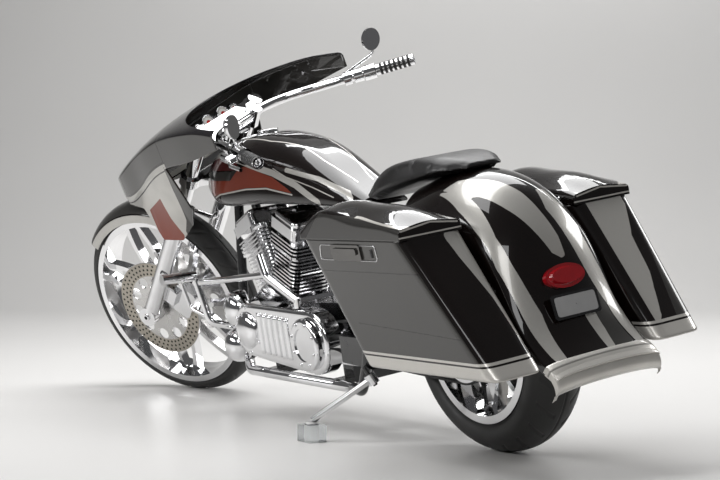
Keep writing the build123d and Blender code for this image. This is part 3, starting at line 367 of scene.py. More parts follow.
def bump(tree, shader, height, strength, distance):
    """Tilt the shading normal by the slope of a height."""
    made = node(tree, "ShaderNodeBump", Strength=strength, Distance=distance)
    tree.links.new(height, made.inputs["Height"])
    tree.links.new(made.outputs["Normal"], shader.inputs["Normal"])


def scaled(colour, share):
    """A colour with each channel multiplied by a share."""
    return tuple(channel * share for channel in colour)


print("node helpers ready, materials so far:", len(bpy.data.materials))

# %% [markdown]
# Chrome and polished metal show their surroundings, so their own colour matters less than how sharp the
# reflection is. A faint cloud makes that uneven, as handling does. Enamel, plastic and rubber have a
# colour that drifts a little, and some have a fine moulded grain.

# %% Metal and plain finishes


def metal(name, colour, rough_low, rough_high, grain=9.0, bump_strength=0.0, bump_scale=900.0):
    """Bare metal: faint cloudy dulling in colour and roughness, and an optional fine texture."""
    material, tree, shader = new_material(name)
    shader.inputs["Metallic"].default_value = 1.0
    cloud = noise(tree, grain, 4.0)
    tree.links.new(ramp(tree, cloud, 0.3, 0.7, rough_low, rough_high), shader.inputs["Roughness"])
    tree.links.new(blend(tree, cloud, colour, scaled(colour, 0.8)), shader.inputs["Base Color"])
    if bump_strength:
        bump(tree, shader, noise(tree, bump_scale, 2.0), bump_strength, 0.0005)
    return material


def plain(name, colour, roughness, variation=0.25, bump_strength=0.0, bump_scale=700.0, coat=0.0):
    """Moulded or painted surface: its colour drifts a little and its gloss is uneven."""
    material, tree, shader = new_material(name)
    cloud = noise(tree, 30.0, 5.0)
    tree.links.new(blend(tree, cloud, scaled(colour, 1 - variation), colour), shader.inputs["Base Color"])
    tree.links.new(ramp(tree, cloud, 0.2, 0.8, roughness * 0.8, roughness * 1.2), shader.inputs["Roughness"])
    shader.inputs["Coat Weight"].default_value = coat
    shader.inputs["Coat Roughness"].default_value = 0.03
    if bump_strength:
        bump(tree, shader, noise(tree, bump_scale, 3.0), bump_strength, 0.0006)
    return material


chrome = metal("chrome", (0.9, 0.9, 0.91), 0.03, 0.07)
polished = metal("polished_aluminium", (0.8, 0.8, 0.81), 0.1, 0.17)
dark_metal = metal("dark_metal", (0.16, 0.155, 0.15), 0.12, 0.2)
disc_steel = metal("disc_steel", (0.62, 0.61, 0.6), 0.22, 0.34, 20.0, 0.1, 900.0)
black_frame = plain("frame_enamel", (0.012, 0.012, 0.013), 0.25, coat=0.6)
control_black = plain("control_plastic", (0.02, 0.02, 0.021), 0.42, bump_strength=0.2, bump_scale=900.0)
grip_rubber = plain("grip_rubber", (0.018, 0.018, 0.018), 0.55, bump_strength=0.3, bump_scale=700.0)
belt_rubber = plain("belt_rubber", (0.016, 0.016, 0.016), 0.6, bump_strength=0.3, bump_scale=500.0)
plate_grey = plain("plate_face", (0.4, 0.4, 0.4), 0.35, variation=0.2)
print("made", len(bpy.data.materials), "materials")

# %% [markdown]
# Real gloss paint is a coloured base under a clear coat: the base may hold metal flakes, the coat gives
# the sharp reflection. Stripes could be cut as separate meshes, but here they are layers over the base:
# each layer has a point attribute that is positive inside the stripe and measures millimetres to its
# edge, so the edge stays sharp at any distance and the surface stays whole.

# %% Gloss paint
BLACK_CHERRY = (0.0045, 0.0025, 0.002)
CHAMPAGNE = (0.48, 0.468, 0.44)
CHARCOAL = (0.047, 0.045, 0.042)
RUST = (0.2, 0.038, 0.02)
LINE_SILVER = (0.62, 0.6, 0.56)
DARK_RED = (0.085, 0.012, 0.012)
FLAKE_SCALE = 2600.0
EDGE_BLUR = 0.4


def paint(name, base, layers, base_metal=0.0, coat=1.0):
    """Gloss paint. layers is a list of (attribute, colour, metallic): each covers those before it where its
    attribute is positive. Fine flakes lighten the colour, a clear coat lies over all."""
    material, tree, shader = new_material(name)
    flakes = noise(tree, FLAKE_SCALE, 1.0)
    cloud = noise(tree, 5.0, 3.0)
    colour = blend(tree, ramp(tree, cloud, 0.3, 0.7), scaled(base, 0.8), scaled(base, 1.2))
    metallic, mixed = base_metal, any(shine != base_metal for _, _, shine in layers)
    for attribute, tint, shine in layers:
        field = node(tree, "ShaderNodeAttribute", attribute_name=attribute)
        cover = ramp(tree, field.outputs["Fac"], -EDGE_BLUR, EDGE_BLUR)
        light = blend(tree, ramp(tree, flakes, 0.25, 0.75), scaled(tint, 0.82), scaled(tint, 1.1))
        colour = blend(tree, cover, colour, light)
        metallic = blend(tree, cover, metallic, shine) if mixed else base_metal
    tree.links.new(colour, shader.inputs["Base Color"])
    if mixed:
        tree.links.new(metallic, shader.inputs["Metallic"])
    else:
        shader.inputs["Metallic"].default_value = base_metal
    tree.links.new(ramp(tree, flakes, 0.3, 0.7, 0.28, 0.4), shader.inputs["Roughness"])
    shader.inputs["Specular IOR Level"].default_value = 0.05
    shader.inputs["Coat Weight"].default_value = coat
    shader.inputs["Coat Roughness"].default_value = 0.02
    return material


print("paint edges fade over", 2 * EDGE_BLUR, "mm")

# %% [markdown]
# ## Rear fender
# The stretched fender is an arch carried back over the wheel. Each station gives the crest, how far the
# section tips back, how deep the arch is at its sides and how far the straight skirts hang. It could be
# sculpted from a cylinder, but a grid of stations by positions across keeps its crest and its skirts on
# smooth lines.

# %% Fender surface
FENDER_HALF = 170.0
SKIRT_SHARE = 0.72
FENDER_STATIONS = [
    # crest x, crest z, tip back, drop at the sides, skirt depth
    (185, 762, -22, 150, 190),
    (-50, 796, 8, 158, 230),
    (-195, 750, 32, 150, 230),
    (-298, 636, 60, 96, 190),
    (-342, 505, 76, 54, 112),
    (-388, 396, 58, 34, 70),
    (-505, 292, 42, 26, 42),
]


def arch_grid(x, z, tip, half, drop, depth, across):
    """Arch sections: |across| up to the skirt's share runs over half an ellipse, side = half sin(a) and
    fall = drop (1 - cos(a)), and the rest runs down the skirt. Section values are numbers or rows."""
    x, z, tip, half, drop, depth = (np.atleast_1d(np.asarray(v, float))[:, None]
                                    for v in (x, z, tip, half, drop, depth))
    t = np.atleast_2d(np.asarray(across, float))
    turn = math.pi / 2 * np.clip(t / SKIRT_SHARE, -1, 1)
    side = half * np.sin(turn)
    hang = np.clip((np.abs(t) - SKIRT_SHARE) / (1 - SKIRT_SHARE), 0, 1)
    fall = drop * (1 - np.cos(turn)) + (depth - drop) * hang
    lean = np.radians(tip)
    return np.stack(np.broadcast_arrays(x + np.sin(lean) * fall, side, z - np.cos(lean) * fall), axis=-1)


crest_x, crest_z, tip, drop, depth = along_stations(FENDER_STATIONS, 200).T
fender_across = np.linspace(-1, 1, 121)
fender_grid = arch_grid(crest_x, crest_z, tip, FENDER_HALF, drop, depth, fender_across)
print("fender grid", fender_grid.shape)

# %% [markdown]
# The stripes are drawn as outlines in two coordinates of the surface, much as they are masked with tape
# on the real panel. For each point of the grid the distance to the outline is worked out, and its sign
# tells inside from outside.

# %% Stripe outlines


def between(value, low, high):
    """Positive inside low..high and measured to the nearer edge."""
    return np.minimum(value - low, high - value)


def to_edge(points, a, b):
    """Distance of points to the straight edge from a to b."""
    edge = b - a
    along = np.clip((points - a) @ edge / (edge @ edge), 0, 1)
    return np.linalg.norm(points - a - along[:, None] * edge, axis=1)


def inside(first, second, corners):
    """Signed distance to a closed outline in two coordinates: positive inside, by the even-odd rule."""
    points = np.stack([np.ravel(first), np.ravel(second)], -1)
    corners = np.asarray(corners, float)
    nearest, within = np.full(len(points), np.inf), np.zeros(len(points), bool)
    for a, b in zip(corners, np.roll(corners, -1, axis=0)):
        nearest = np.minimum(nearest, to_edge(points, a, b))
        spans = (a[1] > points[:, 1]) != (b[1] > points[:, 1])
        rise = b[1] - a[1]
        crossing = a[0] + (points[:, 1] - a[1]) * (b[0] - a[0]) / (rise if rise else 1.0)
        within ^= spans & (points[:, 0] < crossing)
    return np.where(within, nearest, -nearest).reshape(np.shape(first))


def near_line(first, second, line, half):
    """Positive within half a width of an open polyline in two coordinates."""
    points = np.stack([np.ravel(first), np.ravel(second)], -1)
    line = np.asarray(line, float)
    nearest = np.minimum.reduce([to_edge(points, a, b) for a, b in zip(line[:-1], line[1:])])
    return (half - nearest).reshape(np.shape(first))


middle_of_square = inside([5], [5], [(0, 0), (10, 0), (10, 10), (0, 10)])
print("from the middle of a square of 10 to its edge:", middle_of_square)

# %% [markdown]
# On the fender the two coordinates are y across, and -(x + z), which grows from the seat to the hem. A
# silver stripe lies on each shoulder, partly paint and partly a painted reflection of the soft lamps, a
# long drop curls over the crest between them, and the end is silver.

# %% Fender paint
HEM_START, HEM_LINE = 150, 6
# The shoulder stripe and the far stripe are silver paint with a painted reflection of the soft lamps in them.
SHOULDER_STRIPE_AND_REFLECTION = [(128, -742), (147, -584), (156, -450), (162, -275), (150, -109), (143, 118), (140, 150),
                   (110, 150), (99, -61), (128, -254), (135, -371), (120, -542), (114, -656)]
TEARDROP = [(120, -735), (86, -725), (34, -593), (10, -507), (-8, -393), (-26, -296), (-28, -229),
            (-15, -221), (11, -244), (42, -338), (78, -457), (104, -570), (124, -610)]
FAR_STRIPE_AND_REFLECTION = [(-42, -513), (-28, -408), (-52, -300), (-79, -188), (-113, -45), (-121, 150), (-150, 150),
              (-160, -10), (-150, -150), (-116, -321), (-96, -448), (-71, -517)]
LOW_BAND = [(-22, -30), (-23, 56), (-20, 150), (-45, 150), (-57, 57), (-59, -29)]
LOW_SHADE = [(-59, -29), (-57, 57), (-45, 150), (-114, 150), (-109, -97), (-92, -97)]

fender_y, fender_run = fender_grid[..., 1], -(fender_grid[..., 0] + fender_grid[..., 2])
fender_fields = {
    "shade": inside(fender_y, fender_run, LOW_SHADE),
    "silver": np.maximum.reduce([inside(fender_y, fender_run, shape)
                                 for shape in (SHOULDER_STRIPE_AND_REFLECTION, TEARDROP, FAR_STRIPE_AND_REFLECTION, LOW_BAND)]),
    "hem": fender_run - HEM_START,
    "hem_line": between(fender_run, HEM_START, HEM_START + HEM_LINE),
}
# The silver layer is partly stripe paint and partly a painted reflection on the shoulders.
fender_paint = paint("fender_paint", BLACK_CHERRY, [
    ("shade", CHARCOAL, 0.55), ("silver", CHAMPAGNE, 0.4), ("hem", LINE_SILVER, 0.5),
    ("hem_line", CHARCOAL, 0.4)])
panel("rear_fender_skin", fender_grid, fender_fields, (0, 0, REAR_RADIUS), 0.0012, "chassis", fender_paint,
      "rear_fender", slot="black_paint")

# %% [markdown]
# The fender ends in a rolled hem, a silver lip that bulges out and turns under. It is a short curve
# carried across on the same arch as the fender's last station, so the two lie snugly together.

# %% Fender hem
HEM_CURVE = [(-462, 322), (-484, 308), (-498, 291), (-503, 273), (-500, 256), (-489, 247)]
HEM_ROWS, HEM_PROUD = 24, 1.5
HEM_FOLD = (4.0, 5.2)
hem_x, hem_z = along_stations(HEM_CURVE, HEM_ROWS).T
hem_tip, hem_drop, hem_depth = FENDER_STATIONS[-1][2:]
hem_grid = arch_grid(hem_x, hem_z, hem_tip, FENDER_HALF + HEM_PROUD, hem_drop, hem_depth, fender_across)
hem_fold = between(np.arange(float(HEM_ROWS)), *HEM_FOLD)[:, None]
hem_paint = paint("hem_paint", LINE_SILVER, [("fold", CHARCOAL, 0.4)], base_metal=0.5)
panel("fender_hem", hem_grid, {"fold": np.broadcast_to(hem_fold, hem_grid.shape[:2])}, (-300, 0, REAR_RADIUS),
      0.0012, "chassis", hem_paint)

# %% [markdown]
# ## Saddlebags
# A bag is a box swept back: its floor lies further back than its mouth, and its outer wall leans out.
# Every height has a rounded outline, so one ring of points climbs the outside, turns over the rim and
# goes down the inside to the floor. The ring is a single closed grid, which makes real walls to look into
# when the lid is up.

# %% Bag shells
BAG_INNER = 186.3
BAG_BOTTOM, BAG_TOP, BAG_WALL = 300.0, 661.0, 5.0
BAG_LOW = dict(front=140.0, rear=-470.0, outer=345.0)
BAG_HIGH = dict(front=327.0, rear=-186.0, outer=386.0)
BAG_CORNER, FLOOR_ROUND, FLOOR_INSET = 32.0, 9.0, 70
BAG_COLUMNS, OUTSIDE_ROWS, INSIDE_ROWS = 260, 130, 12


def bag_wall(name, height):
    """Where a wall stands at a height: a straight line from its place at the floor to that at the mouth."""
    share = (height - BAG_BOTTOM) / (BAG_TOP - BAG_BOTTOM)
    return BAG_LOW[name] + (BAG_HIGH[name] - BAG_LOW[name]) * share


def bag_ring(height, inset):
    """A rounded outline at each height between the leaning walls, drawn in by an inset."""
    rear, front = bag_wall("rear", height) + inset, bag_wall("front", height) - inset
    inner, outer = BAG_INNER + inset, bag_wall("outer", height) - inset
    corners = corner_rows((rear, inner), (front, inner), (front, outer), (rear, outer))
    radii = np.repeat(np.maximum(BAG_CORNER - inset, 2.0)[:, None], 4, axis=1)
    outline = rounded(corners, radii * ROUNDING, 12)
    closed = np.concatenate([outline, outline[:, :1]], axis=1)
    place = run_length(closed[0])
    fine = np.unique(np.concatenate([place, np.linspace(0, place[-1], BAG_COLUMNS)]))[:-1]
    ring = np.stack([np.stack([np.interp(fine, place, row[:, k]) for k in (0, 1)], -1) for row in closed])
    return placed_rings(ring, height, 2)


def mirrored(grid):
    """The same grid on the right, with its columns reversed so that its faces still look out."""
    return grid[:, ::-1] * MIRROR


edge_angle = np.linspace(0, math.pi / 2, 6)
bag_heights = np.concatenate([
    [BAG_BOTTOM], BAG_BOTTOM + FLOOR_ROUND * (1 - np.cos(edge_angle)),
    np.linspace(BAG_BOTTOM + 12, BAG_TOP - 1, OUTSIDE_ROWS), [BAG_TOP, BAG_TOP, BAG_TOP - 2],
    np.linspace(BAG_TOP - 30, BAG_BOTTOM + BAG_WALL, INSIDE_ROWS), [BAG_BOTTOM + BAG_WALL]])
bag_insets = np.concatenate([
    [FLOOR_INSET], FLOOR_ROUND * (1 - np.sin(edge_angle)), np.zeros(OUTSIDE_ROWS),
    [0.8, BAG_WALL - 0.8, BAG_WALL], np.full(INSIDE_ROWS, BAG_WALL), [FLOOR_INSET]])
bag_grid = bag_ring(bag_heights, bag_insets)
print("bag grid", bag_grid.shape)

# %% [markdown]
# The bags are black, with a charcoal side, a silver wedge on the back face that is partly paint and partly
# a painted highlight, and a silver hem with a dark line. The wedges differ left and right. Two fine dark
# lines of painted shade mark creases across the charcoal side.

# %% Bag paint
# Each silver wedge on the back face is partly paint and partly a painted highlight.
WEDGES_AND_HIGHLIGHTS = [
    [(180, 668), (255, 668), (255, 643), (232, 557), (214, 487), (206, 400), (200, 345), (180, 345)],
    [(228, 668), (352, 668), (351, 638), (311, 561), (292, 462), (238, 345), (216, 345), (219, 432),
     (223, 544)],
]
RIGHT_SIDE_EDGE = ((300, 378, 515, 634), (275, 298, 338, 360))
# The two creases are not in the surface: they are dark lines of painted shade on the charcoal side.
UPPER_CREASE_SHADE, LOWER_CREASE_SHADE = (573, 576), ((118, 428), (-359, 408))
BAG_HEM, BAG_HEM_LINE = 48, (36, 41)


def bag_fields(grid):
    """Millimetres to the edges of the paint: charcoal side, creases drawn as painted shade, silver wedge
    behind with a painted highlight in it, and striped hem.
    """
    x, y, z = grid[..., 0], np.abs(grid[..., 1]), grid[..., 2]
    rear, outer = bag_wall("rear", z), bag_wall("outer", z)
    right = grid[..., 1].mean() < 0
    behind = 14 - (x - rear)
    side = np.minimum(y - (outer - 14), x - rear - 20)
    if right:
        side = np.maximum(side, np.minimum(y - np.interp(z, *RIGHT_SIDE_EDGE), behind + 8))
    crease_shades = np.maximum(between(z, *UPPER_CREASE_SHADE), near_line(x, z, LOWER_CREASE_SHADE, 1.3))
    wedge_and_highlight = np.minimum(inside(y, z, WEDGES_AND_HIGHLIGHTS[1 if right else 0]), behind)
    return {"side": side, "crease_shade": np.minimum(side, crease_shades), "wedge_and_highlight": wedge_and_highlight,
            "hem": (BAG_BOTTOM + BAG_HEM) - z,
            "hem_line": between(z, BAG_BOTTOM + BAG_HEM_LINE[0], BAG_BOTTOM + BAG_HEM_LINE[1])}


def shell_pair(name, grid, fields_of, material, body, node_name):
    """A closed shell on the left and its mirror image on the right. {} in body and node_name is the side."""
    for side_name, one in (("left", grid), ("right", mirrored(grid))):
        on_body = body.format(side_name)
        shell = grid_piece(f"{side_name}_{name}", one, on_body, wrap_columns=True, fields=fields_of(one),
                           fill_ends=True)
        finish_piece(tidy_normals(shell), on_body, material, node_name.format(side_name), slot="black_paint")


# On the bags the crease layer is painted shade, and the wedge layer is silver paint that is partly a painted
# highlight.
bag_paint = paint("bag_paint", BLACK_CHERRY, [
    ("side", CHARCOAL, 0.55), ("crease_shade", BLACK_CHERRY, 0.3), ("wedge_and_highlight", CHAMPAGNE, 0.4),
    ("hem", LINE_SILVER, 0.5), ("hem_line", BLACK_CHERRY, 0.3)])
shell_pair("bag_shell", bag_grid, bag_fields, bag_paint, "chassis", "{}_bag")

# %% [markdown]
# The lids are crowned shells. Their cross-section has five corners: the low inner edge, the crown near
# the middle and the taller outer edge, whose height falls towards the back. The back end is filled with
# shrinking rings rather than one face, because the silver lines also cross it and need points there.

# %% Lids
LID_INNER, LID_OUTER, LID_CREST, LID_BOTTOM = 190.0, 386.0, 285.0, 661.3
LID_ROUNDING = (0.5, 0.5, 16, 120, 16)
LID_STATIONS = [
    # x, inner edge, crest, outer edge
    (-186, 688, 703, 690),
    (-140, 696, 726, 699),
    (-40, 699, 754, 709),
    (60, 700, 761, 719),
    (235, 700, 752, 733),
    (327, 680, 700, 684),
]
LID_PANEL_TOP = ((-186, 18, 209, 294), (693, 721, 736, 666))
LID_BACK_LINE = ((380, 686), (285, 697), (200, 684))
LINE_HALF = 2.2


def lid_rings(count):
    """Closed five-cornered sections along the lid, their three upper heights splined between the stations."""
    stations = np.asarray(LID_STATIONS, float)
    at = np.linspace(stations[0, 0], stations[-1, 0], count)
    inner, crest, outer = spline(stations[:, 0], stations[:, 1:], at).T
    corners = corner_rows((LID_INNER, LID_BOTTOM), (LID_OUTER, LID_BOTTOM), (LID_OUTER, outer),
                          (LID_CREST, crest), (LID_INNER, inner))
    radii = np.array(LID_ROUNDING) * np.ones((count, 1))
    return placed_rings(even(rounded(corners, radii, 10), 240), at, 0)


def lid_fields(grid):
    """Millimetres to the lid's charcoal side panel and to its silver lines."""
    x, y, z = grid[..., 0], np.abs(grid[..., 1]), grid[..., 2]
    top = np.interp(x, *LID_PANEL_TOP)
    side = np.minimum.reduce([y - 366, top - z, x + 183])
    edge = np.minimum.reduce([LINE_HALF - np.abs(z - top), y - 350, 40 - x])
    back = np.minimum(-184 - x, np.maximum(near_line(y, z, LID_BACK_LINE, LINE_HALF), between(z, 667, 671)))
    return {"side": side, "line": np.maximum(edge, back)}


lid_grid = lid_rings(140)
back_middle = lid_grid[0].mean(axis=0)
back_rings = [back_middle + (lid_grid[0] - back_middle) * size for size in np.linspace(0.04, 0.985, 26)]
lid_grid = np.concatenate([np.stack(back_rings), lid_grid])
lid_paint = paint("lid_paint", BLACK_CHERRY, [("side", CHARCOAL, 0.55), ("line", LINE_SILVER, 0.5)])
shell_pair("lid_shell", lid_grid, lid_fields, lid_paint, "{}_lid", "{}_bag_lid")

# %% [markdown]
# ## Fuel tank
# The tank is a long teardrop. Its sections are four-sided with generous rounding, widest above the engine
# and drawn out to a thin tail under the seat's nose. The front is cut off along the fork: points that lie
# past the fork's plane are moved straight back onto it, which leaves the grid whole.

# %% Tank surface
TANK_STATIONS = [
    # x, lower half width, upper half width, bottom, top, lower rounding, upper rounding
    (1388, 118, 100, 752, 872, 28, 50),
    (1290, 150, 128, 722, 910, 32, 90),
    (1130, 166, 138, 716, 940, 36, 100),
    (960, 160, 130, 720, 926, 36, 95),
    (780, 136, 106, 714, 880, 30, 80),
    (600, 108, 84, 704, 788, 24, 50),
    (472, 84, 64, 698, 726, 8, 12),
]
RAKE, TRAIL = math.radians(40.0), 94.0
STEER_FOOT = np.array([WHEELBASE - TRAIL * math.cos(RAKE), 0, FRONT_RADIUS - TRAIL * math.sin(RAKE)])
STEER_UP = np.array([-math.sin(RAKE), 0, math.cos(RAKE)])
STEER_AHEAD = np.array([math.cos(RAKE), 0, math.sin(RAKE)])


def on_stem(height, ahead=0.0):
    """A point by its height along the steering axis and its offset ahead of it."""
    return STEER_FOOT + STEER_UP * height + STEER_AHEAD * ahead


def body_rings(stations, count, around=120):
    """Four-cornered rounded sections along x, splined between the stations."""
    x, low, high, bottom, top, low_round, high_round = along_stations(stations, count, key=0).T
    corners = corner_rows((-low, bottom), (low, bottom), (high, top), (-high, top))
    radii = np.stack([low_round, low_round, high_round, high_round], -1) * ROUNDING
    return placed_rings(even(rounded(corners, radii, 16), around), x, 0)


tank_grid = body_rings(TANK_STATIONS, 240, 280)
fork_face = on_stem(600, -48)
past_face = np.maximum((tank_grid - fork_face) @ STEER_AHEAD, 0)
tank_grid[..., 0] -= past_face / STEER_AHEAD[0]
print("tank grid", tank_grid.shape)

# %% [markdown]
# The flank carries a rust panel with a dark red and a charcoal field above it, under two broad silver
# stripes. The panels are drawn in side view, so left and right match. A thin line on the top is drawn in
# plan.

# %% Tank paint
RUST_PANEL = [(1390, 803), (1146, 803), (1092, 838), (1040, 848), (892, 808), (818, 770), (794, 754),
              (924, 778), (1040, 778), (1232, 760), (1290, 750), (1390, 760)]
RED_PANEL = [(1390, 834), (1090, 836), (1100, 868), (1240, 886), (1390, 880)]
GREY_PANEL = [(1390, 803), (1150, 803), (1138, 832), (1390, 832)]
TANK_STRIPES = [
    # half width, then the line in side view
    (10, [(1330, 874), (1240, 886), (1073, 864), (892, 821), (780, 780), (675, 724)]),
    (7, [(825, 827), (677, 793), (546, 745), (527, 728)]),
    (2.5, [(1330, 830), (1345, 776), (1290, 744), (1230, 758), (1040, 774), (924, 774), (794, 750)]),
]
TANK_FINE_LINE = [(890, 835), (825, 806), (700, 770), (600, 735)]
TANK_TOP_LINE = ((585, 703, 823, 963, 1150), (28, 51, 55, 84, 92))


def tank_fields(grid):
    """Millimetres to the tank's panels and stripes in side view, and to the thin line on its top in plan."""
    x, y, z = grid[..., 0], np.abs(grid[..., 1]), grid[..., 2]
    flank = y - 20
    stripes = np.maximum.reduce([near_line(x, z, line, half) for half, line in TANK_STRIPES])
    top_line = np.minimum(LINE_HALF - np.abs(y - np.interp(x, *TANK_TOP_LINE)), np.minimum(z - 770, 1130 - x))
    fine_line = near_line(x, z, TANK_FINE_LINE, 1.6)
    return {
        "rust": inside(x, z, RUST_PANEL), "dark_red": inside(x, z, RED_PANEL),
        "grey": inside(x, z, GREY_PANEL),
        "silver": np.minimum(stripes, flank), "line": np.maximum(top_line, np.minimum(fine_line, flank)),
    }


tank_paint = paint("tank_paint", BLACK_CHERRY, [
    ("rust", RUST, 0.4), ("dark_red", DARK_RED, 0.4), ("grey", CHARCOAL, 0.55), ("silver", CHAMPAGNE, 0.4),
    ("line", LINE_SILVER, 0.5)])
tank = grid_piece("tank_skin", tank_grid, "chassis", wrap_columns=True, fields=tank_fields(tank_grid),
                  fill_ends=True)
finish_piece(tidy_normals(tank), "chassis", tank_paint, "fuel_tank", slot="black_paint")

# %% [markdown]
# ## Fairing and screen
# One beaked shell covers the fork: the painted beak ahead and the dark screen behind, whose two tips
# sweep back past the bars. Both are arch sections on the same splines, so their reflections run on
# without a step.

# %% Beak
VISOR_STATIONS = [
    # x, crest z, half width, drop at the sides, skirt depth
    (1952, 872, 30, 12, 80),
    (1890, 902, 78, 24, 112),
    (1720, 980, 152, 32, 142),
    (1600, 1027, 206, 36, 133),
    (1450, 1073, 262, 38, 131),
    (1280, 1098, 318, 40, 131),
    (1180, 1102, 344, 42, 115),
    (1092, 1098, 366, 50, 92),
]
SCREEN_FRONT, SCREEN_TIPS, HALF_JOINT = 1450.0, 1092.5, 0.5


def visor_at(x):
    """Section values of the shell at given x: crest, half width, drop and depth, each in the shape of x."""
    stations = np.asarray(VISOR_STATIONS, float)[::-1]
    return [value.reshape(np.shape(x)) for value in spline(stations[:, 0], stations[:, 1:], np.ravel(x)).T]


def beak_fields(grid):
    """The skirt below the shoulder is charcoal, and its hem is edged with silver."""
    crest, _, drop, depth = visor_at(grid[..., 0])
    return {"band": crest - drop + 2 - grid[..., 2], "silver": crest - depth + 17 - grid[..., 2],
            "edge": 2.5 - np.abs(crest - depth + 22 - grid[..., 2])}


beak_x = np.linspace(VISOR_STATIONS[0][0], SCREEN_FRONT + HALF_JOINT, 90)
crest, half, drop, depth = visor_at(beak_x)
beak_grid = arch_grid(beak_x, crest, 0.0, half, drop, depth, np.linspace(-1, 1, 161))
beak_paint = paint("beak_paint", BLACK_CHERRY, [
    ("band", CHARCOAL, 0.55), ("silver", CHAMPAGNE, 0.4), ("edge", BLACK_CHERRY, 0.3)])
panel("beak_skin", beak_grid, beak_fields(beak_grid), (1700, 0, 700), 0.001, "steering", beak_paint,
      "fairing", slot="black_paint")

# %% [markdown]
# A round notch in plan leaves room for the bars behind the screen. A boolean cut would leave ragged
# triangles along it. Here the notch's angle is the row parameter, and each row starts at the notch's
# edge, so the mesh follows the edge exactly.

# %% Screen
NOTCH_CENTRE, NOTCH_RADIUS, WHOLE_ROWS = 1054.0, 346.0, 12


def both_sides(fields):
    """Values for a grid followed by its mirror image."""
    return {name: np.concatenate([value.ravel(), value[:, ::-1].ravel()]) for name, value in fields.items()}


notch_turn = np.linspace(math.acos((SCREEN_TIPS - NOTCH_CENTRE) / NOTCH_RADIUS), 0.0, 70)
screen_x = np.concatenate([NOTCH_CENTRE + NOTCH_RADIUS * np.cos(notch_turn),
                           np.linspace(1405, SCREEN_FRONT - HALF_JOINT, WHOLE_ROWS)])
notch_y = np.concatenate([NOTCH_RADIUS * np.sin(notch_turn), np.zeros(WHOLE_ROWS)])
crest, half, drop, depth = visor_at(screen_x)
edge_share = SKIRT_SHARE * np.arcsin(np.clip(notch_y / half, 0, 1)) / (math.pi / 2)
share = 1 - (1 - edge_share[:, None]) * np.linspace(0, 1, 61)[None, :]
screen_half = arch_grid(screen_x, crest, 0.0, half, drop, depth, share)
screen_paint = paint("screen_tint", (0.012, 0.011, 0.012), [("band", CHARCOAL, 0.55)])
screen = grid_piece("screen_skin", [screen_half, mirrored(screen_half)], "steering",
                    fields=both_sides({"band": beak_fields(screen_half)["band"]}))
wall(outward(tidy_normals(screen), (1300, 0, 700)), 0.001)
finish_piece(screen, "steering", screen_paint, "windshield", slot="tinted_screen")

# %% [markdown]
# The cheeks hang from the beak's edge over the fork legs. Each is a thin panel stretched between an upper
# and a lower line, silver with a dark crescent behind and a rust tip below. Its wall grows to both sides
# of the drawn skin, because the panel has no inside.

# %% Cheeks
CHEEK_STATIONS = [
    # x, top y, top z, bottom y, bottom z
    (1457, 257, 948, 214, 776),
    (1508, 239, 930, 190, 706),
    (1580, 212, 908, 188, 658),
    (1668, 174, 872, 188, 668),
    (1722, 150, 846, 172, 786),
    (1880, 82, 798, 82, 780),
]
CRESCENT_EDGE = ((690, 732, 859, 948), (1548, 1519, 1491, 1464))
RUST_TIP = ((1596, 823), (1695, 778), (1672, 640), (1580, 640), (1563, 677), (1587, 747))
CHEEK_WALL = 0.006


def cheek_fields(grid):
    """The dark crescent along the trailing edge, the rust tip, and the dark line of painted shadow under the
    beak's edge.
    """
    x, z = grid[..., 0], grid[..., 2]
    crest, _, _, depth = visor_at(x)
    return {"crescent": np.interp(z, *CRESCENT_EDGE) - x, "tip": inside(x, z, RUST_TIP),
            # The line just below the beak's lower edge is a painted shadow of that edge.
            "line": between(z, crest - depth - 8, crest - depth - 3)}


stations = np.asarray(CHEEK_STATIONS, float)
cheek_x = np.concatenate([np.linspace(1457, 1722, 90), np.linspace(1726, 1880, 40)])
top_y, top_z, low_y, low_z = (np.interp(cheek_x, stations[:, 0], column)[:, None]
                              for column in stations[:, 1:].T)
down = np.linspace(0, 1, 61)[None, :]
cheek_grid = np.stack(np.broadcast_arrays(
    cheek_x[:, None], top_y + (low_y - top_y) * down, top_z + (low_z - top_z) * down), axis=-1)
# The cheek's dark line is painted shadow under the beak.
cheek_paint = paint("cheek_paint", CHAMPAGNE, [
    ("crescent", CHARCOAL, 0.5), ("tip", RUST, 0.4), ("line", BLACK_CHERRY, 0.3)], base_metal=0.4)
cheeks = grid_piece("cheek_skins", [cheek_grid, mirrored(cheek_grid)], "steering",
                    fields=both_sides(cheek_fields(cheek_grid)))
wall(cheeks, 0.001, CHEEK_WALL, 0.0)
finish_piece(cheeks, "steering", cheek_paint, "fork_cheeks", slot="black_paint")

# %% [markdown]
# ## Front fender
# A short arch hugs the front tyre. Its section, a circular bow with short skirts, is turned about the
# axle, which is what Spin would do, but here the grid also keeps how far each point lies from the edge,
# for the silver strips.

# %% Front fender
FENDER_GAP, FRONT_FENDER_HALF, HUG_RISE, HUG_SKIRT, HUG_SHARE = 14.0, 74.0, 34.0, 30.0, 0.75
HUG_FROM, HUG_TO = 48, 122
STRIP_FROM = 0.72
front_axle = np.array([WHEELBASE, 0.0, FRONT_RADIUS])
crest_radius = FRONT_RADIUS + FENDER_GAP + PANEL * 1000
hug_turn = np.radians(np.linspace(HUG_FROM, HUG_TO, 90))[:, None]
hug_across = np.linspace(-1, 1, 61)
bow_radius = (FRONT_FENDER_HALF**2 + HUG_RISE**2) / (2 * HUG_RISE)
bow_sweep = np.arctan2(FRONT_FENDER_HALF, bow_radius - HUG_RISE) * np.clip(hug_across / HUG_SHARE, -1, 1)
hug_y = bow_radius * np.sin(bow_sweep)
hug_r = (crest_radius - bow_radius * (1 - np.cos(bow_sweep))
         - HUG_SKIRT * np.clip((np.abs(hug_across) - HUG_SHARE) / (1 - HUG_SHARE), 0, 1))
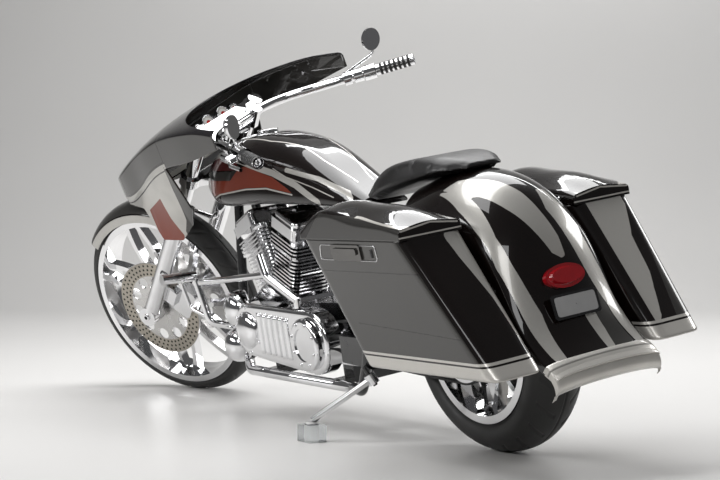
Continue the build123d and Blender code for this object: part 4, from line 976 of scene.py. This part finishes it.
front_fender_grid = np.stack(np.broadcast_arrays(
    front_axle[0] + hug_r * np.cos(hug_turn), hug_y[None, :],
    front_axle[2] + hug_r * np.sin(hug_turn)), axis=-1)
hug_edge = (np.abs(hug_across) - STRIP_FROM) * 100
hug_fields = {name: np.broadcast_to(value[None, :], front_fender_grid.shape[:2])
              for name, value in (("strip", hug_edge), ("line", 2.5 - np.abs(hug_edge)))}
front_fender_paint = paint("front_fender_paint", CHARCOAL, [
    ("strip", CHAMPAGNE, 0.4), ("line", BLACK_CHERRY, 0.3)], base_metal=0.5)
panel("front_fender_skin", front_fender_grid, hug_fields, tuple(front_axle), 0.001, "steering",
      front_fender_paint, "front_fender", slot="black_paint")

# %% [markdown]
# ## Tyres
# A tyre is a profile turned about its axle: bead, bulging wall, shoulder and a rounded crown. The profile
# is a chain of circular arcs, each through three points, as it is drawn on a mould.

# %% Tyre profile
SEAT_GAP, TOE = 0.3, 7
SIDE_POINTS, CROWN_POINTS = 16, 81


def arc_through(first, middle, last, count):
    """Points on the circle through three points, from the first to the last, by interpolating its angle."""
    (ax, ay), (bx, by), (cx, cy) = first, middle, last
    d = 2 * (ax * (by - cy) + bx * (cy - ay) + cx * (ay - by))
    ux = ((ax**2 + ay**2) * (by - cy) + (bx**2 + by**2) * (cy - ay) + (cx**2 + cy**2) * (ay - by)) / d
    uy = ((ax**2 + ay**2) * (cx - bx) + (bx**2 + by**2) * (ax - cx) + (cx**2 + cy**2) * (bx - ax)) / d
    angles = np.unwrap([math.atan2(y - uy, x - ux) for x, y in (first, middle, last)])
    angle = np.interp(np.linspace(0, 1, count), [0, 0.5, 1], angles)
    size = math.hypot(ax - ux, ay - uy)
    return np.stack([ux + size * np.cos(angle), uy + size * np.sin(angle)], axis=-1)


def tyre_profile(radius, crown, shoulder, bead, bead_half, side_half):
    """Closed profile from the left bead over the crown to the right bead, as (radius, side) pairs."""
    edge_y = crown * math.sin(math.radians(shoulder))
    edge_r = radius - crown * (1 - math.cos(math.radians(shoulder)))
    inner, toe, toe_half = bead + SEAT_GAP, bead + SEAT_GAP + TOE, bead_half + 1.5
    middle = (toe + edge_r) / 2
    left_side = arc_through((toe, toe_half), (middle, side_half), (edge_r, edge_y), SIDE_POINTS)
    crown_line = arc_through((edge_r, edge_y), (radius, 0), (edge_r, -edge_y), CROWN_POINTS)
    right_side = left_side[::-1] * np.array([1, -1])
    return np.concatenate([[(inner, bead_half)], left_side[:-1], crown_line, right_side[1:],
                           [(inner, -bead_half)]])


print("a tyre profile has", 2 * SIDE_POINTS + CROWN_POINTS, "points")

# %% [markdown]
# The road tread is cut into the crown by lowering the points that lie in a groove: grooves are lines
# slanted across the crown, repeated round the wheel. The grid is fine enough for the grooves to be real
# geometry, where a bump in the material would leave the outline smooth.

# %% Tyres
TREAD_DEPTH = 3.2
WHEELS = [
    # name, centre, turns, tread pitches, slant, tyre profile
    ("front", front_axle, 540, 27, 0.9, (FRONT_RADIUS, 62, 60, 320, 46, 55)),
    ("rear", np.array([0.0, 0, REAR_RADIUS]), 480, 24, 0.8, (REAR_RADIUS, 105, 50, 224, 70, 91)),
]


def treaded(profile, turns, pitches, slant):
    """A profile's radius over all turns, lowered in one centre groove and in slanted grooves: a groove lies
    where the remainder of (turn * pitches + slant * |across|) is near a half."""
    radius = np.repeat(profile[None, :, 0], turns, axis=0)
    across = np.linspace(-1, 1, CROWN_POINTS)[None, :]
    phase = np.arange(turns)[:, None] / turns * pitches
    saw = (phase + slant * np.abs(across) + 0.25 * np.sign(across)) % 1.0
    reach = (np.abs(across) > 0.22) & (np.abs(across) < 0.9)
    groove = np.where(reach, np.clip(1 - np.abs(saw - 0.5) / 0.09, 0, 1), 0)
    middle = np.clip(1 - np.abs(across) / 0.035, 0, 1)
    crown = slice(SIDE_POINTS, SIDE_POINTS + CROWN_POINTS)
    radius[:, crown] -= TREAD_DEPTH * np.clip(np.maximum(groove, middle) * 2, 0, 1)
    return radius


def turned_grid(radius, side, centre):
    """Radii (turns, k) and sides (k) turned about a wheel's axle: one row for each turn angle."""
    angle = np.linspace(0, 2 * math.pi, len(radius), endpoint=False)[:, None]
    return np.stack(np.broadcast_arrays(centre[0] + radius * np.cos(angle), centre[1] + side,
                                        centre[2] + radius * np.sin(angle)), axis=-1)


def tyre_rubber_finish():
    """Black rubber: dusty and matt in places, a little glossier in others, with a fine moulded grain."""
    material, tree, shader = new_material("moulded_tyre")
    dust = noise(tree, 18.0, 5.0)
    black = blend(tree, dust, (0.012, 0.012, 0.012), (0.03, 0.029, 0.028))
    tree.links.new(black, shader.inputs["Base Color"])
    tree.links.new(ramp(tree, dust, 0.3, 0.7, 0.42, 0.62), shader.inputs["Roughness"])
    bump(tree, shader, noise(tree, 650.0, 3.0), 0.25, 0.0004)
    return material


moulded_tyre = tyre_rubber_finish()
for name, centre, turns, pitches, slant, sizes in WHEELS:
    profile = tyre_profile(*sizes)
    grid = turned_grid(treaded(profile, turns, pitches, slant), profile[:, 1], centre)
    tyre = grid_piece(f"{name}_road_tyre", grid, f"{name}_wheel", wrap_rows=True, wrap_columns=True)
    finish_piece(tidy_normals(tyre), f"{name}_wheel", moulded_tyre, f"{name}_tyre", slot="tyre_rubber")

# %% [markdown]
# ## Handlebar
# One tube, straight across the risers and swept back to the grips. A circle is carried along the bar's
# line, as a bevelled curve would do it. The two directions across the line are kept level, so that the
# tube doesn't twist.

# %% Tubes
UPPER_TREE, BAR_LIFT, BAR_SHOULDER = 834.0, 45.0, 170.0


def bend_path(points, radius, count=14):
    """A polyline with each inner corner replaced by a quadratic Bezier that starts one radius before it."""
    points = np.asarray(points, float)
    out = [points[:1]]
    t = np.linspace(0, 1, count)[:, None]
    for before, corner, after in zip(points[:-2], points[1:-1], points[2:]):
        back, ahead = before - corner, after - corner
        back_size, ahead_size = np.linalg.norm(back), np.linalg.norm(ahead)
        reach = min(radius, HALF_EDGE * back_size, HALF_EDGE * ahead_size)
        out.append(bezier(corner + back / back_size * reach, corner, corner + ahead / ahead_size * reach, t))
    return np.concatenate(out + [points[-1:]])


def tube_grid(path, radius, around, up):
    """Rings across a path: path + radius (side cos(a) + lift sin(a)), side and lift square to the path."""
    path = np.asarray(path, float)
    along = np.gradient(path, axis=0)
    along /= np.linalg.norm(along, axis=1, keepdims=True)
    side = np.cross(along, np.asarray(up, float))
    side /= np.linalg.norm(side, axis=1, keepdims=True)
    lift = np.cross(side, along)
    angle = np.linspace(0, 2 * math.pi, around, endpoint=False)[None, :, None]
    return path[:, None] + radius * (side[:, None] * np.cos(angle) + lift[:, None] * np.sin(angle))


def tube_piece(name, paths, radius, body, material, *node_names, around=24, slot=None, up=(0, 0, 1.0)):
    """Round tubes along one or more paths, with closed ends."""
    grids = [tube_grid(path, radius, around, up) for path in paths]
    obj = grid_piece(name, grids, body, wrap_columns=True, fill_ends=True)
    return finish_piece(tidy_normals(obj), body, material, *node_names, slot=slot)


grip_end = np.array([875.0, 437.0, 966.0])
shoulder = on_stem(UPPER_TREE + BAR_LIFT) + np.array([0, BAR_SHOULDER, 0])
bar_line = bend_path([grip_end * MIRROR, shoulder * MIRROR, shoulder, grip_end], 130, 20)
tube_piece("bar_tube", [bar_line], 16.0, "steering", chrome, "handlebar", slot="chrome", around=32)

# %% [markdown]
# ## Finishes for the CAD pieces
# The pieces whose solids already have the right shape keep them and get a better finish: chrome on the
# engine's covers, the fork and the wheels, polished metal on the castings, enamel on the frame. The
# headlamp and the block under the stand are clear mouldings, so most light passes through them. The tail
# lamp's lens is a deep red under a gloss coat.

# %% Finish the solids


def clear_glass(name, colour, roughness):
    """Clear moulding: most light passes, with a faint tint and small inner clouding."""
    material, tree, shader = new_material(name)
    cloud = noise(tree, 40.0, 3.0)
    tree.links.new(blend(tree, cloud, colour, scaled(colour, 0.9)), shader.inputs["Base Color"])
    shader.inputs["Roughness"].default_value = roughness
    shader.inputs["Transmission Weight"].default_value = 0.9
    shader.inputs["IOR"].default_value = 1.49
    return material


FINISHES = {
    chrome: "rocker_boxes primary_cover cam_cover air_cleaner pushrod_tubes exhaust foot_controls "
            "shift_linkage fuel_cap side_stand fork_tubes fork_lowers upper_fork_tree lower_fork_tree "
            "rear_pulley front_axle rear_axle front_rim rear_rim mirrors bag_hinges hand_controls",
    polished: "front_calipers rear_caliper cylinders engine_crankcase transmission",
    disc_steel: "front_brake_discs rear_brake_disc",
    black_frame: "frame swingarm oil_tank dash plate_holder",
    dark_metal: "bag_latches",
    belt_rubber: "drive_belt",
    plain("red_lens", (0.42, 0.006, 0.012), 0.12, coat=1.0, variation=0.4): "tail_light",
    clear_glass("lamp_glass", (0.9, 0.92, 0.95), 0.02): "headlamp",
    clear_glass("clear_block", (0.93, 0.96, 0.97), 0.06): "stand_block",
}
for finish, names in FINISHES.items():
    for name in names.split():
        nodes[name].data.materials.clear()
        nodes[name].data.materials.append(finish)
    print(finish.name, "on", names)

# %% [markdown]
# ## Trim
# Round trim is a profile of radius against height, turned about an axis, as on a lathe: the bolts and the
# domes on the engine's covers. Ribs, stays and the bright lower rails are tubes.

# %% Engine trim
BOLT = [(5.5, -2), (5.5, 2.6), (4.6, 3.8), (2.5, 4.4), (0.1, 4.5)]
NOSE_DOME = [(61, -4), (61, 3), (57, 9), (48, 17), (32, 23), (16, 26), (0.2, 27)]
FRONT_DOME = [(50, -34), (60, -30), (63, -22), (63, -4), (60, 12), (52, 26), (38, 36), (20, 42), (0.2, 43)]
CLUTCH, CRANK = np.array([715.0, 190.0, 297.0]), np.array([1110.0, 190.0, 318.0])
BOLT_CIRCLES = [
    # centre, radius, count, face
    (CLUTCH, 67, 8, 216.0),
    (CRANK, 74, 6, 190.0),
]
RIB_FIRST, RIB_STEP, RIB_COUNT, RIB_FACE, RIB_REACH = 846.0, 35, 6, 188.0, 66
DOME_STAYS = [
    [(1339, 80, 318), (1300, 112, 350), (1248, 126, 374)],
    [(1290, 108, 214), (1282, 118, 238), (1278, 126, 250)],
]
RAIL = np.array([(1262, 121, 192), (1240, 132, 165), (560, 150, 165)])
LEFT, DOME_AXIS = (0, 1, 0), (0.2, 1, 0)


def lathe(profile, centre, axis, around=32):
    """Rings of a profile of (radius, distance along) turned about an axis through a centre."""
    axis = np.asarray(axis, float) / np.linalg.norm(axis)
    side = np.cross(axis, (0.36, 0.48, 0.8))
    side /= np.linalg.norm(side)
    angle = np.linspace(0, 2 * math.pi, around, endpoint=False)[:, None]
    ring = side * np.cos(angle) + np.cross(axis, side) * np.sin(angle)
    radius, along = np.asarray(profile, float).T[:, :, None, None]
    return np.asarray(centre, float) + radius * ring[None] + along * axis


def turned_piece(name, grids, body, material, fields=None):
    """Turned profiles as one piece."""
    return finish_piece(grid_piece(name, grids, body, wrap_columns=True, fields=fields), body, material)


bolts = []
for centre, reach, count, face in BOLT_CIRCLES:
    for k in range(count):
        turn_by = 2 * math.pi * (k + 0.5) / count
        place = (centre[0] + reach * math.cos(turn_by), face, centre[2] + reach * math.sin(turn_by))
        bolts.append(lathe(BOLT, place, LEFT, 12))
turned_piece("cover_bolts", bolts, "chassis", chrome)
turned_piece("engine_domes", [
    lathe(NOSE_DOME, CRANK, LEFT, 48), lathe(FRONT_DOME, (1240, 150, 374), DOME_AXIS, 48),
    lathe([(r * 0.9, h) for r, h in FRONT_DOME], (1276, 150, 250), DOME_AXIS, 48)], "chassis", chrome)

ribs = []
for x in RIB_FIRST + RIB_STEP * np.arange(RIB_COUNT):
    middle = CLUTCH[2] + (CRANK[2] - CLUTCH[2]) * (x - CLUTCH[0]) / (CRANK[0] - CLUTCH[0])
    reach = np.linspace(-RIB_REACH, RIB_REACH, 12)
    ribs.append(np.stack([0 * reach + x, 0 * reach + RIB_FACE, middle + reach], -1))
tube_piece("cover_ribs", ribs, 10.0, "chassis", chrome, up=(1.0, 0, 0))
tube_piece("dome_stays", [bend_path(line, 30) for line in DOME_STAYS], 10.0, "chassis", chrome)
tube_piece("bright_rails", [bend_path(RAIL, 40), bend_path(RAIL * MIRROR, 40)], 17.0, "chassis", chrome)

# %% [markdown]
# The redrawn panels need what carries them: stays from the fork to the front fender and to the cheeks. A
# stay is a bent tube whose ends are measured from the fork leg and from the panel, so that it meets both.

# %% Stays
LEG_ANGLE, SKIRT_TURN = math.radians(43.0), math.radians(114.0)
LEG_UP = np.array([-math.sin(LEG_ANGLE), 0, math.cos(LEG_ANGLE)])
SKIRT_WAY = np.array([math.cos(SKIRT_TURN), 0, math.sin(SKIRT_TURN)])
LEG_HALF, LOWER_HALF, TUBE_HALF = 141.0, 31.0, 24.5
STAY_INSET, ELBOW, SKIRT_HALF = 49.0, 18.0, 71.0
CHEEK_STAY, CHEEK_REACH = 530.0, 58.0

stay_reach = crest_radius - STAY_INSET
fender_stays, cheek_stays = [], []
for side in (1, -1):
    left = np.array([0, side, 0])
    foot = front_axle + LEG_UP * stay_reach + left * (LEG_HALF - LOWER_HALF)
    skirt_end = front_axle + stay_reach * SKIRT_WAY + left * SKIRT_HALF
    fender_stays.append(bend_path([foot, foot - left * ELBOW, skirt_end], 12))
    leg = front_axle + LEG_UP * CHEEK_STAY + left * LEG_HALF
    cheek_stays.append(leg + np.outer(np.linspace(TUBE_HALF, CHEEK_REACH, 4), left))
tube_piece("fender_stays", fender_stays, 9.0, "steering", chrome)
tube_piece("cheek_stays", cheek_stays, 10.0, "steering", chrome)

# %% [markdown]
# The lids hang on their hinge pins by small eyes. An eye is a ring with a real hole for the pin, and a
# short web joins it to the lid. Eyes and webs ride on the lid, so they turn with it. The latches on the
# bags get a bright outline, with a black rod behind it as painted shade in the latch's slot.

# %% Hinge eyes and latch outlines
HINGE_X, HINGE_Y, HINGE_Z, EYE_OFFSET = (-110.0, 180.0), 183.0, 682.0, 19.6
EYE = [(3.4, -7), (4.5, -7), (4.5, 7), (3.4, 7), (3.4, -7)]
WEB_Y = (HINGE_Y + 4, HINGE_Y + 6, LID_INNER + 3)
LATCH_CORNERS, LATCH_PROUD = [(-58, 606), (236, 606), (224, 648), (-58, 648)], 0.6
SLOT_X, SLOT_DEPTH = -36, 2

for side_name, side in (("left", 1), ("right", -1)):
    middles = [x + way * EYE_OFFSET for x in HINGE_X for way in (1, -1)]
    eyes = [lathe(EYE, (middle, side * HINGE_Y, HINGE_Z), (1, 0, 0)) for middle in middles]
    webs = [np.array([(middle, side * y, HINGE_Z) for y in WEB_Y]) for middle in middles]
    turned_piece(f"{side_name}_lid_eyes", eyes, f"{side_name}_lid", chrome)
    tube_piece(f"{side_name}_lid_webs", webs, 3.0, f"{side_name}_lid", chrome)

latch_edge = flat_outline(LATCH_CORNERS, 10.0, 160)
latch_x, latch_z = np.concatenate([latch_edge, latch_edge[:2]]).T
latch_loop = np.stack([latch_x, bag_wall("outer", latch_z) + LATCH_PROUD, latch_z], -1)
tube_piece("latch_outlines", [latch_loop, latch_loop * MIRROR], 1.6, "chassis", polished, up=(0, 1.0, 0),
           around=10)
# A black rod in each latch stands in for the shade inside its slot.
slot_z = np.linspace(616, 638, 8)
slot_line = np.stack([0 * slot_z + SLOT_X, bag_wall("outer", slot_z) - SLOT_DEPTH, slot_z], -1)
tube_piece("latch_slot_shades", [slot_line, slot_line * MIRROR], 6.0, "chassis", control_black, up=(1.0, 0, 0))

# %% [markdown]
# Four gauges stand on the dash. Each has a pale face with a dark ring and a red middle in a bright rim.
# The face is a flat lathe grid, because its rings then follow the printed circles.

# %% Gauges
DASH_CENTRE, DASH_RISE = np.array([1426.0, 0.0, 998.0]), math.hypot(0.94, 0.34)
GAUGE_OUT, GAUGE_UP = np.array([-0.94, 0, 0.34]) / DASH_RISE, np.array([0.34, 0, 0.94]) / DASH_RISE
GAUGES = [(-96, 15), (-40, 27), (40, 27), (96, 15)]
GAUGE_AROUND = 48
INK, RED = (0.02, 0.02, 0.02), (0.4, 0.02, 0.015)

faces, rims, ink, red = [], [], [], []
for across, radius in GAUGES:
    centre = DASH_CENTRE + GAUGE_OUT * 22 + GAUGE_UP * 3 + np.array([0, across, 0])
    rings = np.linspace(0.1, radius - 1.5, 24)
    rim = [(radius + 2.5, -9), (radius + 2.5, 1.5), (radius + 1, 3.2), (radius - 1, 3.2), (radius - 2, 0.6)]
    faces.append(lathe([(r, 0.8) for r in rings], centre, GAUGE_OUT, GAUGE_AROUND))
    rims.append(lathe(rim, centre, GAUGE_OUT, GAUGE_AROUND))
    spread = np.repeat(rings, GAUGE_AROUND)
    ink.append(0.7 - np.abs(spread - 0.8 * radius))
    red.append(0.38 * radius - spread)
gauge_paint = paint("gauge_face", (0.72, 0.71, 0.68), [("ink", INK, 0.0), ("red", RED, 0.0)])
turned_piece("gauge_faces", faces, "steering", gauge_paint,
             {"ink": np.concatenate(ink), "red": np.concatenate(red)})
turned_piece("gauge_rims", rims, "steering", chrome)

# %% [markdown]
# The grips are bright tubes with rubber bands, and a blank plate lies on its dark holder over the rear
# fender. The bands are turned about the bar's end, and the plate is a rounded outline filled with
# shrinking rings.

# %% Grips and plate
BAND_COUNT, BAND_FIRST, BAND_STEP = 7, 6.0, 16.0
PLATE_PLACE, PLATE_PROUD = np.array([-376.0, 0, 432]), 8.9
PLATE_CORNERS = [(-67, -26), (67, -26), (67, 26), (-67, 26)]
PLATE_SLOPE = math.hypot(0.97, 0.24)
PLATE_OUT, PLATE_UP = np.array([-0.97, 0, 0.24]) / PLATE_SLOPE, np.array([0.24, 0, 0.97]) / PLATE_SLOPE

bands = []
inward = (shoulder - grip_end) / np.linalg.norm(shoulder - grip_end)
for side in (1, -1):
    for start in BAND_FIRST + BAND_STEP * np.arange(BAND_COUNT):
        band = [(18.5, start), (20.2, start + 1.2), (20.2, start + 8.8), (18.5, start + 10)]
        bands.append(lathe(band, grip_end * (1, side, 1), inward * (1, side, 1), 32))
turned_piece("grip_bands", bands, "steering", grip_rubber)

edge = flat_outline(PLATE_CORNERS, 9.0, 80)
plate_rows = [PLATE_PLACE + PLATE_OUT * PLATE_PROUD + edge[:, :1] * size * np.array([0, 1, 0])
              + edge[:, 1:] * size * PLATE_UP for size in (1.0, 0.6, 0.02)]
turned_piece("plate_face", np.stack(plate_rows), "chassis", plate_grey)

# %% [markdown]
# The brake discs get a drilled face. The holes are dark spots of painted shade in the finish, too small
# and too many to cut: the distance to the nearest hole comes from the remainder of the angle, because
# the holes repeat round the disc.

# %% Drilled discs
DISC_IN, DISC_OUT, DISC_FACE = 128.0, 179.4, 96.8
HOLE, HOLE_COUNT = 4.3, 48
HOLE_ROWS = ((137, 0.0), (153, 0.045), (169, 0.09))

disc_r, disc_turn = np.meshgrid(np.linspace(DISC_IN, DISC_OUT, 34),
                                np.linspace(0, 2 * math.pi, 960, endpoint=False), indexing="ij")
pitch = 2 * math.pi / HOLE_COUNT
holes = np.maximum.reduce([
    HOLE - np.hypot(disc_r - row, disc_r * (np.mod(disc_turn - shift, pitch) - pitch / 2))
    for row, shift in HOLE_ROWS])
drilled = [np.stack([front_axle[0] + disc_r * np.cos(disc_turn), 0 * disc_r + side * DISC_FACE,
                     front_axle[2] + disc_r * np.sin(disc_turn)], -1) for side in (1, -1)]
# The holes are not cut: near-black painted shade stands for the openings.
HOLE_SHADE = (0.012, 0.012, 0.012)
disc_paint = paint("disc_face", (0.4, 0.37, 0.32), [("holes", HOLE_SHADE, 0.0)], base_metal=1.0, coat=0.0)
turned_piece("drilled_faces", drilled, "front_wheel", disc_paint, {"holes": np.concatenate([holes, holes])})

# %% [markdown]
# ## Seat
# The seat is foam under leather. A closed form is made from the same sections as the solid, a little
# smaller, and then blown up gently as cloth, so that it swells between its edges as stuffed leather does.
# Sculpting could give the same fullness, but the cloth finds it by itself.

# %% Seat form
SEAT_STATIONS = [
    # x, lower half width, upper half width, bottom, top, lower rounding, upper rounding
    (448, 84, 62, 730, 746, 4, 6),
    (400, 108, 84, 728, 764, 10, 16),
    (300, 138, 112, 748, 808, 16, 30),
    (200, 140, 116, 768, 829, 18, 36),
    (100, 132, 100, 787, 837, 14, 28),
    (0, 110, 76, 797, 829, 8, 16),
    (-62, 62, 40, 797, 810, 2, 4),
]
SEAT_SHRINK = 0.985

seat_grid = body_rings(SEAT_STATIONS, 60)
seat_middle = seat_grid.mean(axis=1, keepdims=True)
seat_grid = seat_middle + (seat_grid - seat_middle) * SEAT_SHRINK
seat = tidy_normals(grid_piece("seat_cover", seat_grid, "chassis", wrap_columns=True, fill_ends=True))
print("seat form", len(seat.data.polygons), "faces")

# %% [markdown]
# The leather is black with a pebbled grain. Small cells give the pebbles, and a soft cloud makes the
# gloss uneven, as on a seat that has been sat on. The swelling is capped, so that the cover stays close
# to the solid.

# %% Seat cover
SEAT_VOXEL, SEAT_PRESSURE, SEAT_FRAMES, SEAT_CAP = 0.005, 4.0, 20, 0.006


def leather_finish():
    """Black leather: pebbled grain from small cells, and a soft uneven gloss."""
    material, tree, shader = new_material("black_leather")
    place = node(tree, "ShaderNodeTexCoord")
    cells = node(tree, "ShaderNodeTexVoronoi", Scale=420.0)
    tree.links.new(place.outputs["Object"], cells.inputs["Vector"])
    cloud = noise(tree, 12.0, 4.0)
    black = blend(tree, cloud, (0.006, 0.006, 0.006), (0.014, 0.013, 0.013))
    tree.links.new(black, shader.inputs["Base Color"])
    tree.links.new(ramp(tree, cloud, 0.3, 0.7, 0.34, 0.5), shader.inputs["Roughness"])
    bump(tree, shader, cells.outputs["Distance"], 0.22, 0.0006)
    return material


def swell(obj, voxel, pressure, frames, cap):
    """Remesh, inflate as cloth for some frames, and keep each point within a cap of where it started."""
    scene = bpy.context.scene
    bpy.context.view_layer.objects.active = obj
    obj.select_set(True)
    remesh = modifier(obj, "REMESH", mode="VOXEL", voxel_size=voxel, use_smooth_shade=True)
    bpy.ops.object.modifier_apply(modifier=remesh.name)
    count = len(obj.data.vertices)
    start, moved = np.zeros(count * 3, np.float32), np.zeros(count * 3, np.float32)
    obj.data.vertices.foreach_get("co", start)
    cloth = modifier(obj, "CLOTH")
    cloth.settings.use_pressure = True
    cloth.settings.uniform_pressure_force = pressure
    cloth.settings.effector_weights.gravity = 0.0
    for number in range(1, frames + 1):
        scene.frame_set(number)
    shown = obj.evaluated_get(bpy.context.evaluated_depsgraph_get())
    shown.data.vertices.foreach_get("co", moved)
    step = (moved - start).reshape(-1, 3)
    size = np.linalg.norm(step, axis=1, keepdims=True)
    step *= np.minimum(1.0, cap / np.maximum(size, 1e-9))
    obj.modifiers.remove(cloth)
    scene.frame_set(1)
    obj.data.vertices.foreach_set("co", (start.reshape(-1, 3) + step).ravel())
    obj.data.update()
    print(obj.name, "swelled up to", round(float(size.max()) * 1000, 1), "mm")


swell(seat, SEAT_VOXEL, SEAT_PRESSURE, SEAT_FRAMES, SEAT_CAP)
modifier(seat, "SUBSURF", levels=1, render_levels=1)
finish_piece(seat, "chassis", leather_finish(), "seat", slot="seat_leather")

# %% [markdown]
# ## Studio
# The floor sweeps up into a pale wall behind the machine, as a roll of paper does in a studio, so no
# corner shows. Seen from its back the paper is transparent, and the machine can also be looked at from
# behind the wall.

# %% Floor
FLOOR_REACH, WALL_AT, BEND, WALL_TOP = 14.0, 5.5, 3.0, 9.0
SWEEP_TURN = math.radians(31.6)


def sweep_grid():
    """A floor that turns up into a wall far from the camera: straight, a quarter circle, straight."""
    away = np.array([math.cos(SWEEP_TURN), -math.sin(SWEEP_TURN)])
    across = np.array([away[1], -away[0]])
    angle = np.linspace(0, math.pi / 2, 24)
    reach = np.concatenate([[-FLOOR_REACH], WALL_AT + BEND * np.sin(angle), [WALL_AT + BEND]])[:, None]
    height = np.concatenate([[0], BEND * (1 - np.cos(angle)), [WALL_TOP]])[:, None]
    wide = np.linspace(-FLOOR_REACH, FLOOR_REACH, 3)[None, :]
    return np.stack(np.broadcast_arrays(
        reach * away[0] + wide * across[0], reach * away[1] + wide * across[1], height), axis=-1)


sweep = sweep_grid()
floor = build_mesh("studio_sweep", sweep.reshape(-1, 3), grid_faces(*sweep.shape[:2]))
if floor.data.polygons[0].normal.z < 0:
    floor.data.flip_normals()
paper, tree, shader = new_material("studio_paper")
shade = noise(tree, 0.6, 2.0)
tree.links.new(blend(tree, shade, (0.67, 0.662, 0.65), (0.72, 0.713, 0.7)), shader.inputs["Base Color"])
shader.inputs["Roughness"].default_value = 0.35
see_through = node(tree, "ShaderNodeMixShader")
tree.links.new(node(tree, "ShaderNodeNewGeometry").outputs["Backfacing"], see_through.inputs["Fac"])
tree.links.new(shader.outputs["BSDF"], see_through.inputs[1])
tree.links.new(node(tree, "ShaderNodeBsdfTransparent").outputs["BSDF"], see_through.inputs[2])
tree.links.new(see_through.outputs["Shader"], tree.nodes["Material Output"].inputs["Surface"])
floor.data.materials.append(paper)
print("floor", len(floor.data.polygons), "faces")

# %% [markdown]
# The camera stands behind and to the left of the machine, low, with a long lens. Its place is measured
# from the rear axle, and its focal length is given in pixels of a picture 720 wide.

# %% Camera
CAMERA_FROM_REAR_AXLE = np.array([-4.132, 2.982])
CAMERA_HEIGHT = 0.704
CAMERA_YAW, CAMERA_PITCH = math.radians(31.585), math.radians(1.296)
FOCAL_PIXELS, IMAGE_WIDTH, SENSOR = 1831.5, 720, 36.0


def place_camera():
    """The camera's frame: it looks along its yaw and pitch, with the image's up near the world's up."""
    level = math.cos(CAMERA_PITCH)
    look = Vector((math.cos(CAMERA_YAW) * level, -math.sin(CAMERA_YAW) * level, -math.sin(CAMERA_PITCH)))
    right = look.cross(Vector((0, 0, 1))).normalized()
    up = right.cross(look)
    data = bpy.data.cameras.new("camera")
    data.sensor_width, data.lens = SENSOR, FOCAL_PIXELS / IMAGE_WIDTH * SENSOR
    data.sensor_fit = "HORIZONTAL"
    data.clip_end = 100.0
    obj = bpy.data.objects.new("camera", data)
    bpy.context.scene.collection.objects.link(obj)
    frame_matrix = Matrix((right, up, -look)).transposed().to_4x4()
    frame_matrix.translation = Vector((*(rear_axle[:2] + CAMERA_FROM_REAR_AXLE), CAMERA_HEIGHT))
    obj.matrix_world = frame_matrix
    bpy.context.scene.camera = obj
    return obj


camera = place_camera()
print("camera lens", round(camera.data.lens, 1), "mm")

# %% [markdown]
# Large soft lamps stand above and to both sides, because chrome and gloss paint show their surroundings
# more than their own colour: long lamps draw long highlights along the body. One more lamp washes the
# wall, and a dim grey world fills the shadows.

# %% Light
LAMPS = [
    # name, place, target, size, watts
    ("overhead", (0.5, 0.1, 3.5), (0.1, 0.0, 0.5), (4.4, 2.0), 145),
    ("left_bank", (0.6, 4.4, 2.3), (0.1, 0.0, 0.6), (3.6, 0.8), 85),
    ("right_bank", (-1.0, -3.8, 2.6), (-0.3, 0.0, 0.5), (2.8, 0.8), 50),
    ("camera_side", (-4.6, 3.6, 3.6), (-0.3, 0.0, 0.5), (2.6, 1.8), 70),
    ("wall_wash", (2.2, -2.6, 4.6), (4.6, -3.6, 0.4), (6.0, 1.2), 230),
]
WORLD_GREY, WORLD_STRENGTH = (0.5, 0.5, 0.51, 1), 0.2

for name, place, target, size, watts in LAMPS:
    data = bpy.data.lights.new(name, "AREA")
    data.shape, data.size, data.size_y = "RECTANGLE", size[0], size[1]
    data.energy = watts
    lamp = bpy.data.objects.new(name, data)
    bpy.context.scene.collection.objects.link(lamp)
    lamp.location = place
    lamp.rotation_euler = (Vector(target) - Vector(place)).to_track_quat("-Z", "Y").to_euler()

world = bpy.data.worlds.new("studio_air")
bpy.context.scene.world = world
world.use_nodes = True
world.node_tree.nodes["Background"].inputs["Color"].default_value = WORLD_GREY
world.node_tree.nodes["Background"].inputs["Strength"].default_value = WORLD_STRENGTH
bpy.context.scene.view_settings.view_transform = "Standard"
print(len(LAMPS), "lamps,", sum(lamp[-1] for lamp in LAMPS), "watts")
